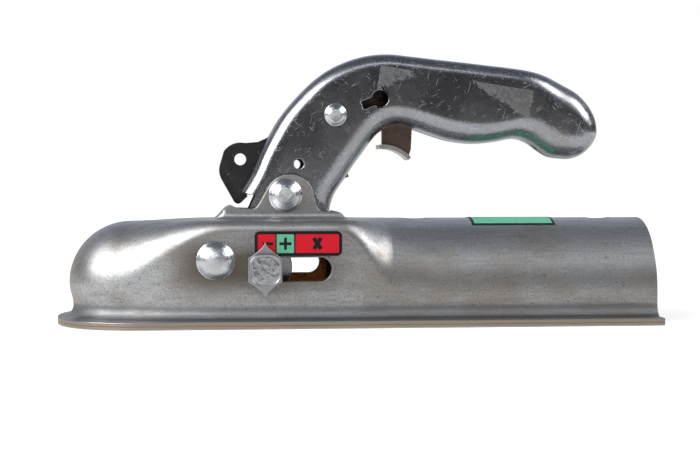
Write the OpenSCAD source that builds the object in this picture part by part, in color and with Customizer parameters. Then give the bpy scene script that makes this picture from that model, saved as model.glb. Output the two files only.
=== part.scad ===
// Pressed-steel trailer coupling head for a 50 mm ball and a round drawbar.
// Nose towards -X, drawbar towards +X, underside of the flange on z = 0.

/* [Housing] */
// Length of the housing over its flange
body_len = 280; // [270:1:300]
// Half width of the flange
flange_hw = 46; // [44:0.5:50]
// Sheet thickness of the housing
sheet = 3.5; // [3:0.1:4]
// Bend radius where the walls meet the flange
foot_r = 5; // [4:0.5:6]
// Half width over the flat side panels
panel_hw = 36; // [35:0.5:38]
// Bend radius above the side panels
panel_r = 5.5; // [4.5:0.5:7]
// Height of the housing over the side panels
panel_top = 48.7; // [47:0.1:51]

/* [Ball] */
// Diameter of the towing ball
ball_d = 50; // [49:0.5:51]
// Gap between ball and dome
ball_gap = 0.9; // [0.5:0.1:1.2]
// Height of the ball's centre over the flange
ball_z = 18.5; // [17.5:0.5:20]
// Distance from the housing's front edge to the ball's centre
ball_x = 34.8; // [33:0.1:37]

/* [Drawbar] */
// Diameter of the round drawbar
bar_d = 60; // [58:0.5:61]
// Radial gap round the drawbar
bar_gap = 0.5; // [0.2:0.1:1]
// Height of the drawbar's axis
bar_z = 15; // [13:0.5:16]
// Length of the drawbar seat
bar_len = 126; // [110:1:130]
// Diameter of the drawbar's bolt holes
bar_bolt_d = 12.5; // [10.5:0.5:14.5]
// Distance between the bolt holes
bar_bolt_gap = 90; // [80:1:95]
// Distance from the rear edge to the first bolt hole
bar_bolt_end = 20; // [18:1:24]

/* [Collar] */
// Half width between the upturned ears
collar_hw = 13.5; // [13.4:0.1:15]
// Height of the collar's front lip
collar_front_z = 55; // [54:0.5:56]
// Height of the collar's rear lip
collar_rear_z = 52.2; // [51.5:0.1:53]
// Radius of the ears round the handle rivet
ear_r = 11.6; // [11:0.1:12.5]

/* [Handle] */
// Distance from the front edge to the handle rivet
handle_x = 106.4; // [105:0.2:108]
// Height of the handle rivet
handle_z = 59.9; // [59:0.1:61]
// Width over the handle's cheeks
handle_w = 26; // [25:0.1:26.2]
// Sheet thickness of the handle
handle_sheet = 2; // [1.6:0.1:2.4]
// Length of the handle from its rivet to the end of the grip
handle_len = 151.6; // [140:0.2:160]
// Top edge radius of the handle
handle_top_r = 7; // [5:0.5:9]
// Bottom edge radius of the handle
handle_low_r = 10.4; // [9:0.1:10.4]
// Half width of the slit under the handle
slit_hw = 2.7; // [2.5:0.1:3]

/* [Rivets and cross bolt] */
// Shank diameter of the handle and jaw rivets
rivet_d = 10; // [9:0.5:11]
// Head diameter of the jaw rivet
jaw_head_d = 17.5; // [16:0.5:19]
// Head diameter of the handle rivet
handle_head_d = 15.7; // [14:0.1:17]
// Shank diameter of the catch rivet
catch_rivet_d = 6; // [5:0.5:7]
// Head diameter of the catch rivet
catch_head_d = 10.5; // [9:0.5:12]
// Distance from the front edge to the jaw rivet
jaw_x = 73.4; // [72:0.2:75]
// Height of the jaw rivet
jaw_z = 30.4; // [29:0.2:32]
// Shank diameter of the cross bolt
bolt_d = 10; // [9:0.5:10.4]
// Height of the cross bolt and its slots
slot_z = 26.3; // [25.5:0.1:27]
// Height of the slots
slot_h = 10.8; // [10.6:0.1:12]
// Distance from the front edge to the cross bolt, handle down
bolt_x = 95.8; // [94:0.2:97]
// Way of the cross bolt in its slots
bolt_travel = 25; // [20:0.5:27]
// Outer diameter of the rollers on the cross bolt
roller_d = 15; // [13:0.5:16]

/* [Jaw] */
// Room between the jaw's cheeks and the housing's sides
jaw_room = 5.5; // [4.5:0.5:6]
// Thickness of the jaw's cheeks
jaw_sheet = 4; // [3:0.5:5]
// Thickness of the cup behind the ball
cup_wall = 5.5; // [4:0.5:6.5]
// Gap between ball and cup
cup_gap = 0.5; // [0.3:0.1:1]
// Height of the cup's lower edge
cup_low_z = 5; // [4.5:0.5:7]

/* [Safety catch] */
// Thickness of the catch plate
catch_t = 3; // [2.5:0.1:3.2]
// Length of the catch plate
catch_len = 92.3; // [88:0.1:96]
// Distance from the front edge to the catch rivet
catch_x = 130.3; // [129:0.1:131.5]
// Height of the catch rivet
catch_z = 97.75; // [97:0.25:99]
// Diameter of the padlock hole
padlock_d = 5.6; // [5:0.2:6.4]
// Width of the finger pad
pad_w = 13; // [10:0.5:16]

/* [Pointer and labels] */
// Diameter of the pointer's boss
boss_d = 15.4; // [14:0.2:17]
// Height of the pointer from tip to tip
pointer_h = 25.4; // [23:0.2:28]
// Thickness of the pointer's leaf
pointer_t = 3.2; // [2.5:0.1:4]
// Length of the slot label
label_w = 39.9; // [36:0.1:40.5]
// Height of the slot label
label_h = 11.3; // [10:0.1:11.5]
// Thickness of the labels
label_t = 0.3; // [0.2:0.05:0.5]

/* [Hidden] */

fit = 0.05;
gap = 0.3;
zinc = "#9b9d9f";
bright = "#b9bcc0";
dark_steel = "#4a4a4c";

front = -body_len / 2;
rear = body_len / 2;
xb = front + ball_x;
xh = front + handle_x;
xj = front + jaw_x;
xp = front + bolt_x;
xc = front + catch_x;
dome_r = ball_d / 2 + ball_gap + sheet;
bar_r = bar_d / 2 + bar_gap;
tube_r = bar_r + sheet;
tube_top = bar_z + tube_r;
inner_hw = panel_hw - sheet;
jaw_hw = inner_hw - jaw_room;
cheek_in = handle_w / 2 - handle_sheet;
ear_out = collar_hw + sheet;
bolt_r = bolt_d / 2;
roller_r = roller_d / 2;
rivet_sleeve_r = rivet_d / 2 + 3;
bolt_sleeve_r = bolt_r + 2;
catch_sleeve_r = catch_rivet_d / 2 + 2.2;

// Stations of the housing along its length
lip_front = xh - 25;
lip_rear = xh + 25;
ramp_front = lip_front - 8;
ramp_rear = lip_rear + 5;
bar_stop = rear - bar_len;
bar_blend = 14;
panel_end = bar_stop - bar_blend;
collar_r = 3.2;
tall = 26;

function mix(a, b, k) = a + (b - a) * k;
function clamp01(k) = max(0, min(1, k));
function ease(k) = let (c = clamp01(k)) c * c * (3 - 2 * c);
function along(x, x0, x1) = ease((x - x0) / (x1 - x0));

// Half width, top height and shoulder radius of the housing at station x
function body_hw(x) =
    x < panel_end
        ? mix(dome_r, panel_hw, along(x, xb, xj - 12)) : mix(panel_hw, tube_r, along(x, panel_end, bar_stop));
function body_top(x) =
    x < xj
        ? mix(ball_z + dome_r, panel_top, along(x, xb, xj)) : mix(panel_top, tube_top, along(x, panel_end, bar_stop));
function body_r(x) =
    x < panel_end - 4
        ? mix(dome_r, panel_r, along(x, xb - 4, xj + 6)) : mix(panel_r, tube_r, along(x, panel_end - 4, bar_stop));
// How far the wall draws in under the ball's middle
function body_neck(x) = 1.8 * (1 - along(x, xb, xb + 22));
// How far the collar stands over the top at station x
function collar_rise(x) =
    x <= ramp_front || x >= ramp_rear ? 0 :
    x <= lip_front ? (collar_front_z - panel_top) * (x - ramp_front) / (lip_front - ramp_front) :
    x >= lip_rear ? (collar_rear_z - panel_top) * (ramp_rear - x) / (ramp_rear - lip_rear) : tall;
// Wall thickness at station x: the seats of ball and drawbar are cut from a thicker wall
seat_cut = 0.7;
function wall_t(x) =
    sheet + seat_cut * (x < panel_end ? 1 - along(x, xb, xj - 12) : along(x, panel_end, bar_stop - 4));
// Top of a section without its collar, at distance y from the middle
function crown(y, w, t, r) = y <= w - r ? t : t - r + sqrt(max(0, r * r - pow(y - w + r, 2)));
// Direction that the section's top faces at distance y
function crown_n(y, w, r) = let (c = clamp01((y - w + r) / r)) [c, sqrt(1 - c * c)];

foot_steps = 4;
arc_steps = 6;
// One wall of the section, from the flange to near the middle, moved inwards by off
function wall_points(w, t, r, neck, rise, off) =
    let (foot_x = w - neck + foot_r)
    let (foot_z = sheet + foot_r)
    let (base = ear_out + collar_r)
    let (end = acos(clamp01((base - w + r) / r)))
    let (lift = min(1.2, rise * 0.3))
    let (wall = min(collar_r, rise * 0.8))
    let (rim_y = mix(ear_out - 1.6, ear_out - 0.01, clamp01(rise / 5)))
    concat(
        [for (i = [0:foot_steps]) let (a = 270 - 90 * i / foot_steps)
            [foot_x + (foot_r + off) * cos(a), foot_z + (foot_r + min(off, sheet)) * sin(a)]],
        [[w - neck * 0.4 - off, mix(foot_z, t - r, 0.55)]],
        [for (i = [0:arc_steps]) let (a = end * i / arc_steps)
            [w - r + (r - off) * cos(a), t - r + (r - off) * sin(a)]],
        [for (q = [[ear_out + 1.2, lift, [0.8, 0.6]], [ear_out, wall, [1, 0.4]], [rim_y, rise, [1, 1]],
            [10, rise, [0.5, 1]], [5, rise, [0.2, 1]]])
            let (n = mix(crown_n(q[0], w, r), q[2], clamp01(rise / 5)))
            [q[0] - off * n[0], crown(q[0], w, t, r) + q[1] - off * n[1]]]
    );

// Outline of the flange round the nose, at angle a from the side
nose_x = 42;
nose_power = 2.2;
function nose_edge(a) = let (k = pow(pow(sin(a), nose_power) + pow(cos(a), nose_power), -1 / nose_power))
    [-nose_x * k * sin(a), flange_hw * k * cos(a)];

// A list of numbers from the largest to the smallest
function falling(v) = len(v) < 2 ? v
    : concat(falling([for (q = v) if (q > v[0]) q]), [v[0]], falling([for (q = v) if (q < v[0]) q]));
stations = falling([
    rear, bar_stop, bar_stop - 4, bar_stop - 8, panel_end + 2, panel_end - 2, ramp_rear - 0.5, lip_rear, lip_rear - 2,
    lip_front + 2, lip_front, ramp_front, xj - 4, xj - 10, xj - 16, xj - 23, xj - 31, xb
]);
nose_angles = [for (i = [1:9]) 18 * i];
m = len(stations);
rib_count = 2 * m + len(nose_angles);
function is_nose(i) = i >= m && i < m + len(nose_angles);
function station(i) = i < m ? i : is_nose(i) ? m - 1 : rib_count - 1 - i;
// A rib's outline as points [distance from the middle, height]
function rib(x, off) = wall_points(body_hw(x), body_top(x), body_r(x), body_neck(x), collar_rise(x), off);
function placed(i, x, p) =
    is_nose(i)
        ? let (a = nose_angles[i - m]) [x - p[0] * sin(a), -p[0] * cos(a), p[1]]
        : [x, (i < m ? -1 : 1) * p[0], p[1]];
// The flange's edge point of rib i, at height z
function edge_point(i, x, z) =
    is_nose(i)
        ? let (a = nose_angles[i - m], e = nose_edge(a > 90 ? 180 - a : a))
            [front + nose_x + e[0], (a > 90 ? 1 : -1) * e[1], z]
        : [x, (i < m ? -1 : 1) * flange_hw * (x > xb + 1 ? 1 : 0.997), z];
function outer_rib(i) =
    let (x = stations[station(i)])
    concat([edge_point(i, x, 0), edge_point(i, x, sheet)], [for (p = rib(x, 0)) placed(i, x, p)]);
function inner_rib(i) =
    let (x = stations[station(i)])
    [for (p = rib(x, wall_t(x))) placed(i, x, p)];
n_in = foot_steps + arc_steps + 8;
n_out = n_in + 2;
function outer_top(s) = let (x = stations[s]) [x, 0, body_top(x) + collar_rise(x)];

// Faces of a grid with cols points in each of its rows, first point at start
function grid_faces(start, cols, rows, flip) = [
    for (i = [0:rows - 2]) for (j = [0:cols - 2]) for (h = [0, 1])
        let (a = start + i * cols + j)
        let (b = a + cols)
        let (t = h == 0 ? [a, b, b + 1] : [a, b + 1, a + 1])
        flip ? [t[0], t[2], t[1]] : t
];

module housing_loft() {
    outer = [for (i = [0:rib_count - 1]) each outer_rib(i)];
    inner = [for (i = [0:rib_count - 1]) each inner_rib(i)];
    tops = [for (s = [0:m - 1]) outer_top(s)];
    lows = [for (p = tops) [p[0], 0, p[2] - wall_t(p[0])]];
    o = 0;
    n = rib_count * n_out;
    ot = n + rib_count * n_in;
    it = ot + m;
    last = rib_count - 1;
    ridge = [
        for (i = [0:last - 1])
            let (a = o + i * n_out + n_out - 1, b = a + n_out, s = station(i), u = station(i + 1))
            each concat([[a, b, ot + u]], s == u ? [] : [[a, ot + u, ot + s]])
    ];
    hollow = [
        for (i = [0:last - 1])
            let (a = n + i * n_in + n_in - 1, b = a + n_in, s = station(i), u = station(i + 1))
            each concat([[a, it + u, b]], s == u ? [] : [[a, it + s, it + u]])
    ];
    sole = [
        for (i = [0:last - 1])
            let (a = i * n_out, b = a + n_out, c = n + i * n_in, d = c + n_in)
            each [[a, c, d], [a, d, b]]
    ];
    ends = [
        for (e = [0, 1])
            let (a = e * last * n_out, c = n + e * last * n_in)
            each [
                for (t = concat(
                    [[a, a + 1, c], [a + 1, a + 2, c]],
                    [for (j = [0:n_in - 2]) each [
                        [a + j + 2, a + j + 3, c + j + 1], [a + j + 2, c + j + 1, c + j]]],
                    [[a + n_out - 1, ot, c + n_in - 1], [ot, it, c + n_in - 1]]
                )) e == 0 ? t : [t[0], t[2], t[1]]
            ]
    ];
    polyhedron(
        concat(outer, inner, tops, lows),
        concat(grid_faces(o, n_out, rib_count, false), grid_faces(n, n_in, rib_count, true),
            ridge, hollow, sole, ends),
        convexity = 10
    );
}

// A cylinder along Y, centred on y = 0
module along_y(x, z, r, l, steps = 48) {
    translate([x, 0, z]) rotate([90, 0, 0]) cylinder(r = r, h = l, center = true, $fn = steps);
}

// A tube along Y from y0 to y1
module sleeve(x, z, y0, y1, r_out, r_in) {
    translate([x, y1, z]) rotate([90, 0, 0]) difference() {
        cylinder(r = r_out, h = y1 - y0, $fn = 48);
        translate([0, 0, -1]) cylinder(r = r_in, h = y1 - y0 + 2, $fn = 48);
    }
}

// A flat plate standing in the XZ plane, from y0 to y1
module upright(y0, y1) {
    translate([0, y1, 0]) rotate([90, 0, 0]) linear_extrude(y1 - y0) children();
}

function arc_points(x, z, r, a0, a1, steps) =
    [for (i = [0:steps]) let (a = mix(a0, a1, i / steps)) [x + r * cos(a), z + r * sin(a)]];

// Outline of the two ears and the rims before and behind them, seen from the side
module ear_trim() {
    lean = 147;
    polygon(concat(
        [[rear, tall + panel_top + 20], [rear, collar_rear_z + 8], [lip_rear + 1, collar_rear_z + 8],
            [lip_rear + 1, collar_rear_z]],
        arc_points(xh + 18.5, collar_rear_z + 4, 4, 270, 180, 4),
        arc_points(xh + 2.2, handle_z - 1.8, ear_r, 2, lean, 12),
        arc_points(lip_front + 9, collar_front_z + 2.6, 4, 327, 262, 4),
        [[lip_front + 3, collar_front_z - 1.2], [lip_front, collar_front_z + 0.2],
            [lip_front, collar_front_z + 8], [front, collar_front_z + 8], [front, tall + panel_top + 20]]
    ));
}

module round_slot(x0, x1, z, h) {
    end_r = h / 2;
    translate([x0 + end_r, z]) circle(end_r, $fn = 40);
    translate([x1 - end_r, z]) circle(end_r, $fn = 40);
    translate([x0 + end_r, z - end_r]) square([x1 - x0 - h, h]);
}

notch_len = 7;
slot_x0 = xp - bolt_r - gap * 2;
slot_x1 = xp + bolt_travel + bolt_r + gap * 2;

module body_shell() {
    color(zinc) difference() {
        housing_loft();
        // the ball's seat in the dome
        translate([xb, 0, ball_z]) sphere(r = ball_d / 2 + ball_gap, $fn = 64);
        // the drawbar's seat
        translate([bar_stop, 0, bar_z]) rotate([0, 90, 0]) cylinder(r = bar_r, h = bar_len + 1, $fn = 96);
        // the collar's opening for the handle and the notch for the catch
        translate([lip_front, -collar_hw, panel_top - 10]) cube([lip_rear - lip_front, 2 * collar_hw, 60]);
        translate([lip_front - notch_len, -catch_t / 2 - 1, panel_top - 10]) cube([notch_len + 1, catch_t + 2, 60]);
        upright(-60, 60) ear_trim();
        // slots of the cross bolt
        upright(-60, 60) round_slot(slot_x0, slot_x1, slot_z, slot_h);
        // rivet holes
        along_y(xj, jaw_z, rivet_d / 2 + fit, 2 * panel_hw + 20);
        along_y(xh, handle_z, rivet_d / 2 + fit, 2 * panel_hw + 20);
        // bolt holes of the drawbar
        for (k = [0, 1]) translate([rear - bar_bolt_end - k * bar_bolt_gap, 0, bar_z + bar_r - 6])
            cylinder(d = bar_bolt_d, h = 20, $fn = 48);
    }
}

// A rivet with a domed head on each side
module rivet(x, z, shank_r, head_r, head_h, half) {
    dome = (head_r * head_r + head_h * head_h) / (2 * head_h);
    translate([x, 0, z]) rotate([90, 0, 0]) {
        cylinder(r = shank_r, h = 2 * half, center = true, $fn = 48);
        for (s = [0, 1]) mirror([0, 0, s]) translate([0, 0, half])
            rotate_extrude($fn = 48) intersection() {
                translate([0, head_h - dome]) circle(dome, $fn = 96);
                square([head_r, head_h]);
            }
    }
}

module jaw_rivet() {
    color(bright) rivet(xj, jaw_z, rivet_d / 2, jaw_head_d / 2, 4.4, panel_hw);
}

module handle_rivet() {
    color(bright) rivet(xh, handle_z, rivet_d / 2, handle_head_d / 2, 4, ear_out);
}

module jaw_sleeve(side) {
    y0 = jaw_hw + gap;
    y1 = inner_hw - gap;
    color(dark_steel)
        sleeve(xj, jaw_z, side > 0 ? y0 : -y1, side > 0 ? y1 : -y0, rivet_sleeve_r, rivet_d / 2 + fit);
}

label_z = slot_z + slot_h / 2 + 6.4;
label_x = xp + 15.3;
module slot_label(side) {
    y0 = side > 0 ? panel_hw : -panel_hw - label_t;
    color("#b8202c") upright(y0, y0 + label_t) translate([label_x, label_z]) offset(2.3, $fn = 24)
        square([label_w - 4.6, label_h - 4.6], center = true);
}

top_label_x = bar_stop + 41.5;
top_label_len = 40;
top_label_half = 25;
module top_label() {
    color("#5fb592") translate([top_label_x, 0, bar_z]) rotate([90, 0, 90])
        rotate([0, 0, 90 - top_label_half]) rotate_extrude(angle = 2 * top_label_half, $fn = 96)
            translate([tube_r, 0]) square([label_t, top_label_len]);
}

// The jaw's cheek seen from the side
module jaw_cheek() {
    tail_z = slot_z - roller_r - gap;
    difference() {
        union() {
            translate([xj, jaw_z]) circle(9, $fn = 48);
            polygon([
                [xj + 8.6, jaw_z - 2.6], [xp - 10.5, slot_z - 5.2], [xp - 6.5, tail_z + 0.6], [xp, tail_z],
                [xp + 9.4, tail_z - 2.6], [xp + 9.4, tail_z - 7], [xp + 6, tail_z - 9.6],
                [xj + 6, cup_low_z + 5.5], [xj - 10, cup_low_z + 1.4], [xj - 18, cup_low_z],
                [xb + 12.6, cup_low_z + 3], [xb + 12, ball_z], [xb + 15, ball_z + 8], [xj - 8.4, jaw_z + 3]
            ]);
        }
        translate([xj, jaw_z]) circle(rivet_d / 2 + fit, $fn = 48);
    }
}

module ball_jaw() {
    cup_r = ball_d / 2 + cup_gap;
    color("#8c8a86") {
        for (s = [-1, 1])
            upright(s > 0 ? jaw_hw - jaw_sheet : -jaw_hw, s > 0 ? jaw_hw : jaw_sheet - jaw_hw) jaw_cheek();
        difference() {
            intersection() {
                translate([xb, 0, ball_z]) sphere(r = cup_r + cup_wall, $fn = 64);
                translate([xb + 12, -jaw_hw + 1, cup_low_z]) cube([30, 2 * jaw_hw - 2, ball_z + 6 - cup_low_z]);
            }
            translate([xb, 0, ball_z]) sphere(r = cup_r, $fn = 64);
        }
    }
}

// Side view of the handle about its rivet: top edge, lower edge and half width of each section
guide_len = 151.6;
guide = [
    [[-20.4, 1.6], [21.6, -7.9], 1], [[-15.4, 9.8], [24, 0.1], 1], [[-11.1, 19.6], [29, 7.7], 1],
    [[-6.8, 28], [33.4, 14.4], 1], [[-1.4, 37.1], [37.6, 20.1], 1], [[6.1, 46.2], [41.1, 24.9], 1],
    [[15.6, 55.4], [44.6, 28.9], 1], [[25.3, 61.4], [48.1, 31.5], 1], [[36.9, 65.5], [52.4, 33], 1],
    [[48.6, 66.9], [57.6, 32.6], 1], [[60.6, 65.9], [63.6, 30.9], 1], [[71.6, 64.7], [70.6, 28.5], 1],
    [[83.6, 63.5], [79.6, 25.9], 1], [[95.6, 62.2], [90.6, 24.6], 1], [[107.6, 60.9], [100.6, 25.3], 1],
    [[119.1, 59.3], [111.1, 27.1], 1], [[127.1, 57.1], [117.6, 25.4], 1], [[134.9, 53.3], [123.1, 21.7], 1],
    [[142.1, 49.3], [128.1, 18.7], 0.99], [[147.4, 44.1], [133.2, 17.7], 0.97],
    [[150.4, 39.1], [138.6, 17.5], 0.9], [[151.6, 34.1], [144.2, 19.3], 0.74], [[151.6, 30.5], [148.2, 22.5], 0.42]
];

// A point of the guide in its place on the handle
function on_handle(p) = [xh, handle_z] + p * handle_len / guide_len;

low_steps = 4;
top_steps = 3;
// One side of the handle's section, from the slit to near the top, moved inwards by off
function cheek_points(w, d, off) =
    let (rl = min(handle_low_r * w * 2 / handle_w, d * 0.5))
    let (rt = min(handle_top_r * w * 2 / handle_w, d * 0.4))
    let (slit = min(slit_hw, w - rl + 0.3))
    concat(
        [[slit, off]],
        [for (i = [0:low_steps]) let (a = 270 + 12 + 78 * i / low_steps)
            [w - rl + (rl - off) * cos(a), rl + (rl - off) * sin(a)]],
        [for (i = [0:top_steps]) let (a = 90 * i / top_steps)
            [w - rt + (rt - off) * cos(a), d - rt + (rt - off) * sin(a)]]
    );
function section_loop(g, off) =
    let (d = norm(g[0] - g[1]))
    let (u = (g[0] - g[1]) / d)
    let (w = handle_w / 2 * g[2])
    let (side = cheek_points(w, d, off))
    let (near = [for (p = side) [g[1][0] + u[0] * p[1], -p[0], g[1][1] + u[1] * p[1]]])
    let (far = [for (i = [len(side) - 1:-1:0]) let (p = side[i])
        [g[1][0] + u[0] * p[1], p[0], g[1][1] + u[1] * p[1]]])
    concat(near, far);

// Joins closed loops of points, each with count points, into a solid with flat ends
module loop_loft(loops) {
    count = len(loops[0]);
    rows = len(loops);
    sides = [
        for (i = [0:rows - 2]) for (j = [0:count - 1])
            let (a = i * count + j, b = i * count + (j + 1) % count)
            each [[a, b, b + count], [a, b + count, a + count]]
    ];
    half = count / 2;
    // both ends: pairs of points across the wall
    caps = [
        for (e = [0, rows - 1]) for (j = [0:half - 2])
            let (a = e * count + j, b = a + 1, c = e * count + count - 2 - j, d = c + 1)
            each [for (t = [[a, c, b], [a, d, c]]) e == 0 ? t : [t[0], t[2], t[1]]]
    ];
    polyhedron([for (l = loops) each l], concat(sides, caps), convexity = 10);
}

function handle_loop(g) =
    let (inner = section_loop(g, g[2] < 0.5 ? handle_sheet * 0.9 : handle_sheet))
    let (outer = section_loop(g, 0))
    concat(outer, [for (i = [len(inner) - 1:-1:0]) inner[i]]);

// Way from the handle rivet to the cross bolt
arm = norm([xh - xp, handle_z - slot_z]);
arm_turn = atan2(xh - xp, handle_z - slot_z);
arm_short = handle_z - slot_z;
arm_long = norm([xp + bolt_travel - xh, handle_z - slot_z]);
fork_r = 14;

// A cheek's lower end, which takes the cross bolt in its long hole
module fork() {
    difference() {
        union() {
            polygon([[xh - 16.6, handle_z - 6.4], [xh - 13.6, handle_z + 0.1], [xh - 9, handle_z + 8],
                [xh + 10, handle_z + 8], [xh + 15, handle_z - 2], [xh + 21.4, handle_z - 7.8], [xh + 15, handle_z - 17], [xp + fork_r, slot_z + 5],
                [xp - fork_r + 1, slot_z + 3], [xh - 19, handle_z - 20]]);
            translate([xp, slot_z]) circle(fork_r, $fn = 64);
        }
        translate([xh, handle_z]) circle(rivet_d / 2 + fit, $fn = 48);
        translate([xh, handle_z]) rotate(-90 - arm_turn)
            round_slot(arm_short - bolt_r - 1, arm_long + bolt_r + 1, 0, bolt_d + 1.2);
    }
}

keyhole_x = xc + 21.2;
keyhole_z = catch_z + 7.75;
keyhole_r = 3.9;
small_hole_x = xh + 6.6;
small_hole_z = handle_z + 14.7;
small_hole_r = 2.3;

module handle_shell() {
    color(bright) difference() {
        union() {
            loop_loft([for (g = guide) handle_loop([on_handle(g[0]), on_handle(g[1]), g[2]])]);
            for (s = [-1, 1]) upright(s > 0 ? cheek_in : -handle_w / 2, s > 0 ? handle_w / 2 : -cheek_in) fork();
        }
        along_y(xh, handle_z, rivet_d / 2 + fit, 2 * handle_w);
        along_y(xc, catch_z, catch_rivet_d / 2 + fit, 2 * handle_w);
        along_y(small_hole_x, small_hole_z, small_hole_r, 2 * handle_w);
        // keyhole in the near cheek
        upright(-handle_w / 2 - 1, -cheek_in + 1) {
            translate([keyhole_x, keyhole_z]) circle(keyhole_r, $fn = 48);
            translate([keyhole_x, keyhole_z]) rotate(202) translate([0, -1.9]) square([9.2, 3.8]);
        }
        // slit in the front for the catch's lug
        upright(-catch_t / 2 - 0.7, catch_t / 2 + 0.7)
            polygon([[xh - 30, handle_z - 12], [xh - 12, handle_z - 12], [xh - 12, handle_z + 6],
                [xh - 2, handle_z + 24], [xh + 2, handle_z + 34], [xh - 12, handle_z + 44], [xh - 40, handle_z + 20]]);
    }
}

module handle_sleeve() {
    color(dark_steel)
        sleeve(xh, handle_z, -cheek_in + gap / 2, cheek_in - gap / 2, rivet_sleeve_r, rivet_d / 2 + fit);
}

module catch_rivet() {
    color(bright) rivet(xc, catch_z, catch_rivet_d / 2, catch_head_d / 2, 2.7, handle_w / 2);
}

module catch_sleeve(side) {
    y0 = catch_t / 2 + gap;
    y1 = cheek_in - gap / 2;
    color(dark_steel)
        sleeve(xc, catch_z, side > 0 ? y0 : -y1, side > 0 ? y1 : -y0, catch_sleeve_r, catch_rivet_d / 2 + fit);
}

// A round wire swept through a list of points
wire_sides = 8;
function unit(v) = v / norm(v);
module wire(path, r) {
    n = len(path);
    rings = [
        for (i = [0:n - 1])
            let (t = unit(path[min(n - 1, i + 1)] - path[max(0, i - 1)]))
            let (a = unit(cross(t, abs(t[1]) > 0.9 ? [1, 0, 0] : [0, 1, 0])))
            let (b = cross(t, a))
            [for (k = [0:wire_sides - 1]) let (q = 360 * k / wire_sides) path[i] + r * (cos(q) * a + sin(q) * b)]
    ];
    sides = [
        for (i = [0:n - 2]) for (j = [0:wire_sides - 1])
            let (a = i * wire_sides + j, b = i * wire_sides + (j + 1) % wire_sides)
            each [[a, b + wire_sides, b], [a, a + wire_sides, b + wire_sides]]
    ];
    polyhedron([for (g = rings) each g], concat(sides,
        [[for (j = [0:wire_sides - 1]) j]],
        [[for (j = [wire_sides - 1:-1:0]) (n - 1) * wire_sides + j]]), convexity = 10);
}

module main_spring() {
    wire_r = 1.4;
    coil = rivet_sleeve_r + gap + wire_r;
    turns = 5;
    steps = 16;
    half = 7.6;
    turn = [for (i = [0:turns * steps]) let (a = 300 - 360 * i / steps)
        [xh + coil * cos(a), mix(-half, half, i / (turns * steps)), handle_z + coil * sin(a)]];
    // short leg at one end, long leg into the handle's back at the other
    short_leg = [[xh + 16, -half, handle_z - 8.5]];
    long_leg = [
        [xh + 10.5, half - 0.4, handle_z - 4.5], [xh + 14, 6, handle_z + 2],
        [xh + 22, 2, handle_z + 7], [xh + 29, 0, handle_z + 9.5]
    ];
    color(dark_steel) wire(concat(short_leg, turn, long_leg), wire_r);
}

spring_x = xc + 15;
spring_z0 = catch_z + 8 + gap;
spring_z1 = catch_z + 24.4;
module catch_spring() {
    wire_r = 0.6;
    turns = 7;
    steps = 10;
    color(dark_steel) wire([for (i = [0:turns * steps]) let (a = 360 * i / steps)
        [spring_x + 3.2 * cos(a), 3.2 * sin(a),
            mix(spring_z0 + wire_r, spring_z1 - wire_r, i / (turns * steps))]], wire_r);
}

// Outline of the catch about its rivet, drawn for this length
catch_drawn = 92.3;
pad_x = 23.2;
pad_z = -32.2;
pad_r = 18.4;
pad_t = 2;
catch_outline = concat(
    arc_points(-44.3, -22.5, 9.6, 78, 145, 5),
    arc_points(-45.2, -26, 9.2, 165, 208, 4),
    arc_points(-45.5, -39.8, 2.2, 205, 320, 5),
    [[-40.9, -38.4], [-42.6, -35], [-34, -24], [-24, -15], [-10, -8], [0, -7.4], [12, -5], [pad_x + 0.2, -6],
        [pad_x + 0.2, -14.2]],
    arc_points(pad_x, pad_z, pad_r - 0.4, 86, 44, 5),
    [[37.4, -16], [37.9, -5.6], [33, 1], [20, 8], [4, 8], [-8, 3.6], [-20, -5], [-31.6, -10.6], [-36, -12.6]]
);
padlock_at = [-44.4, -20.85];
// A point of the outline in its place on the handle
function on_catch(p) = [xc, catch_z] + p * catch_len / catch_drawn;

module catch_plate() {
    hole = on_catch(padlock_at);
    color(dark_steel) {
        upright(-catch_t / 2, catch_t / 2) difference() {
            polygon([for (p = catch_outline) on_catch(p)]);
            translate([xc, catch_z]) circle(catch_rivet_d / 2 + fit, $fn = 48);
            translate([hole[0], hole[1]]) circle(d = padlock_d, $fn = 48);
        }
        upright(-pad_w / 2, pad_w / 2) polygon([for (p = concat(arc_points(pad_x, pad_z, pad_r, 96, 42, 10),
            arc_points(pad_x, pad_z, pad_r - pad_t, 42, 96, 10))) on_catch(p)]);
    }
}

// Faces of the pointer and of the bolt's head that look at the panels
outside = panel_hw + label_t + gap;
module cross_bolt() {
    head_r = boss_d / 2 + 1;
    head_t = 4;
    color("#8c8a86") translate([xp, outside + head_t, slot_z]) rotate([90, 0, 0]) {
        cylinder(r = head_r, h = head_t, $fn = 48);
        cylinder(r = bolt_r, h = head_t + 2 * outside + pointer_t, $fn = 48);
    }
}

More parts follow.
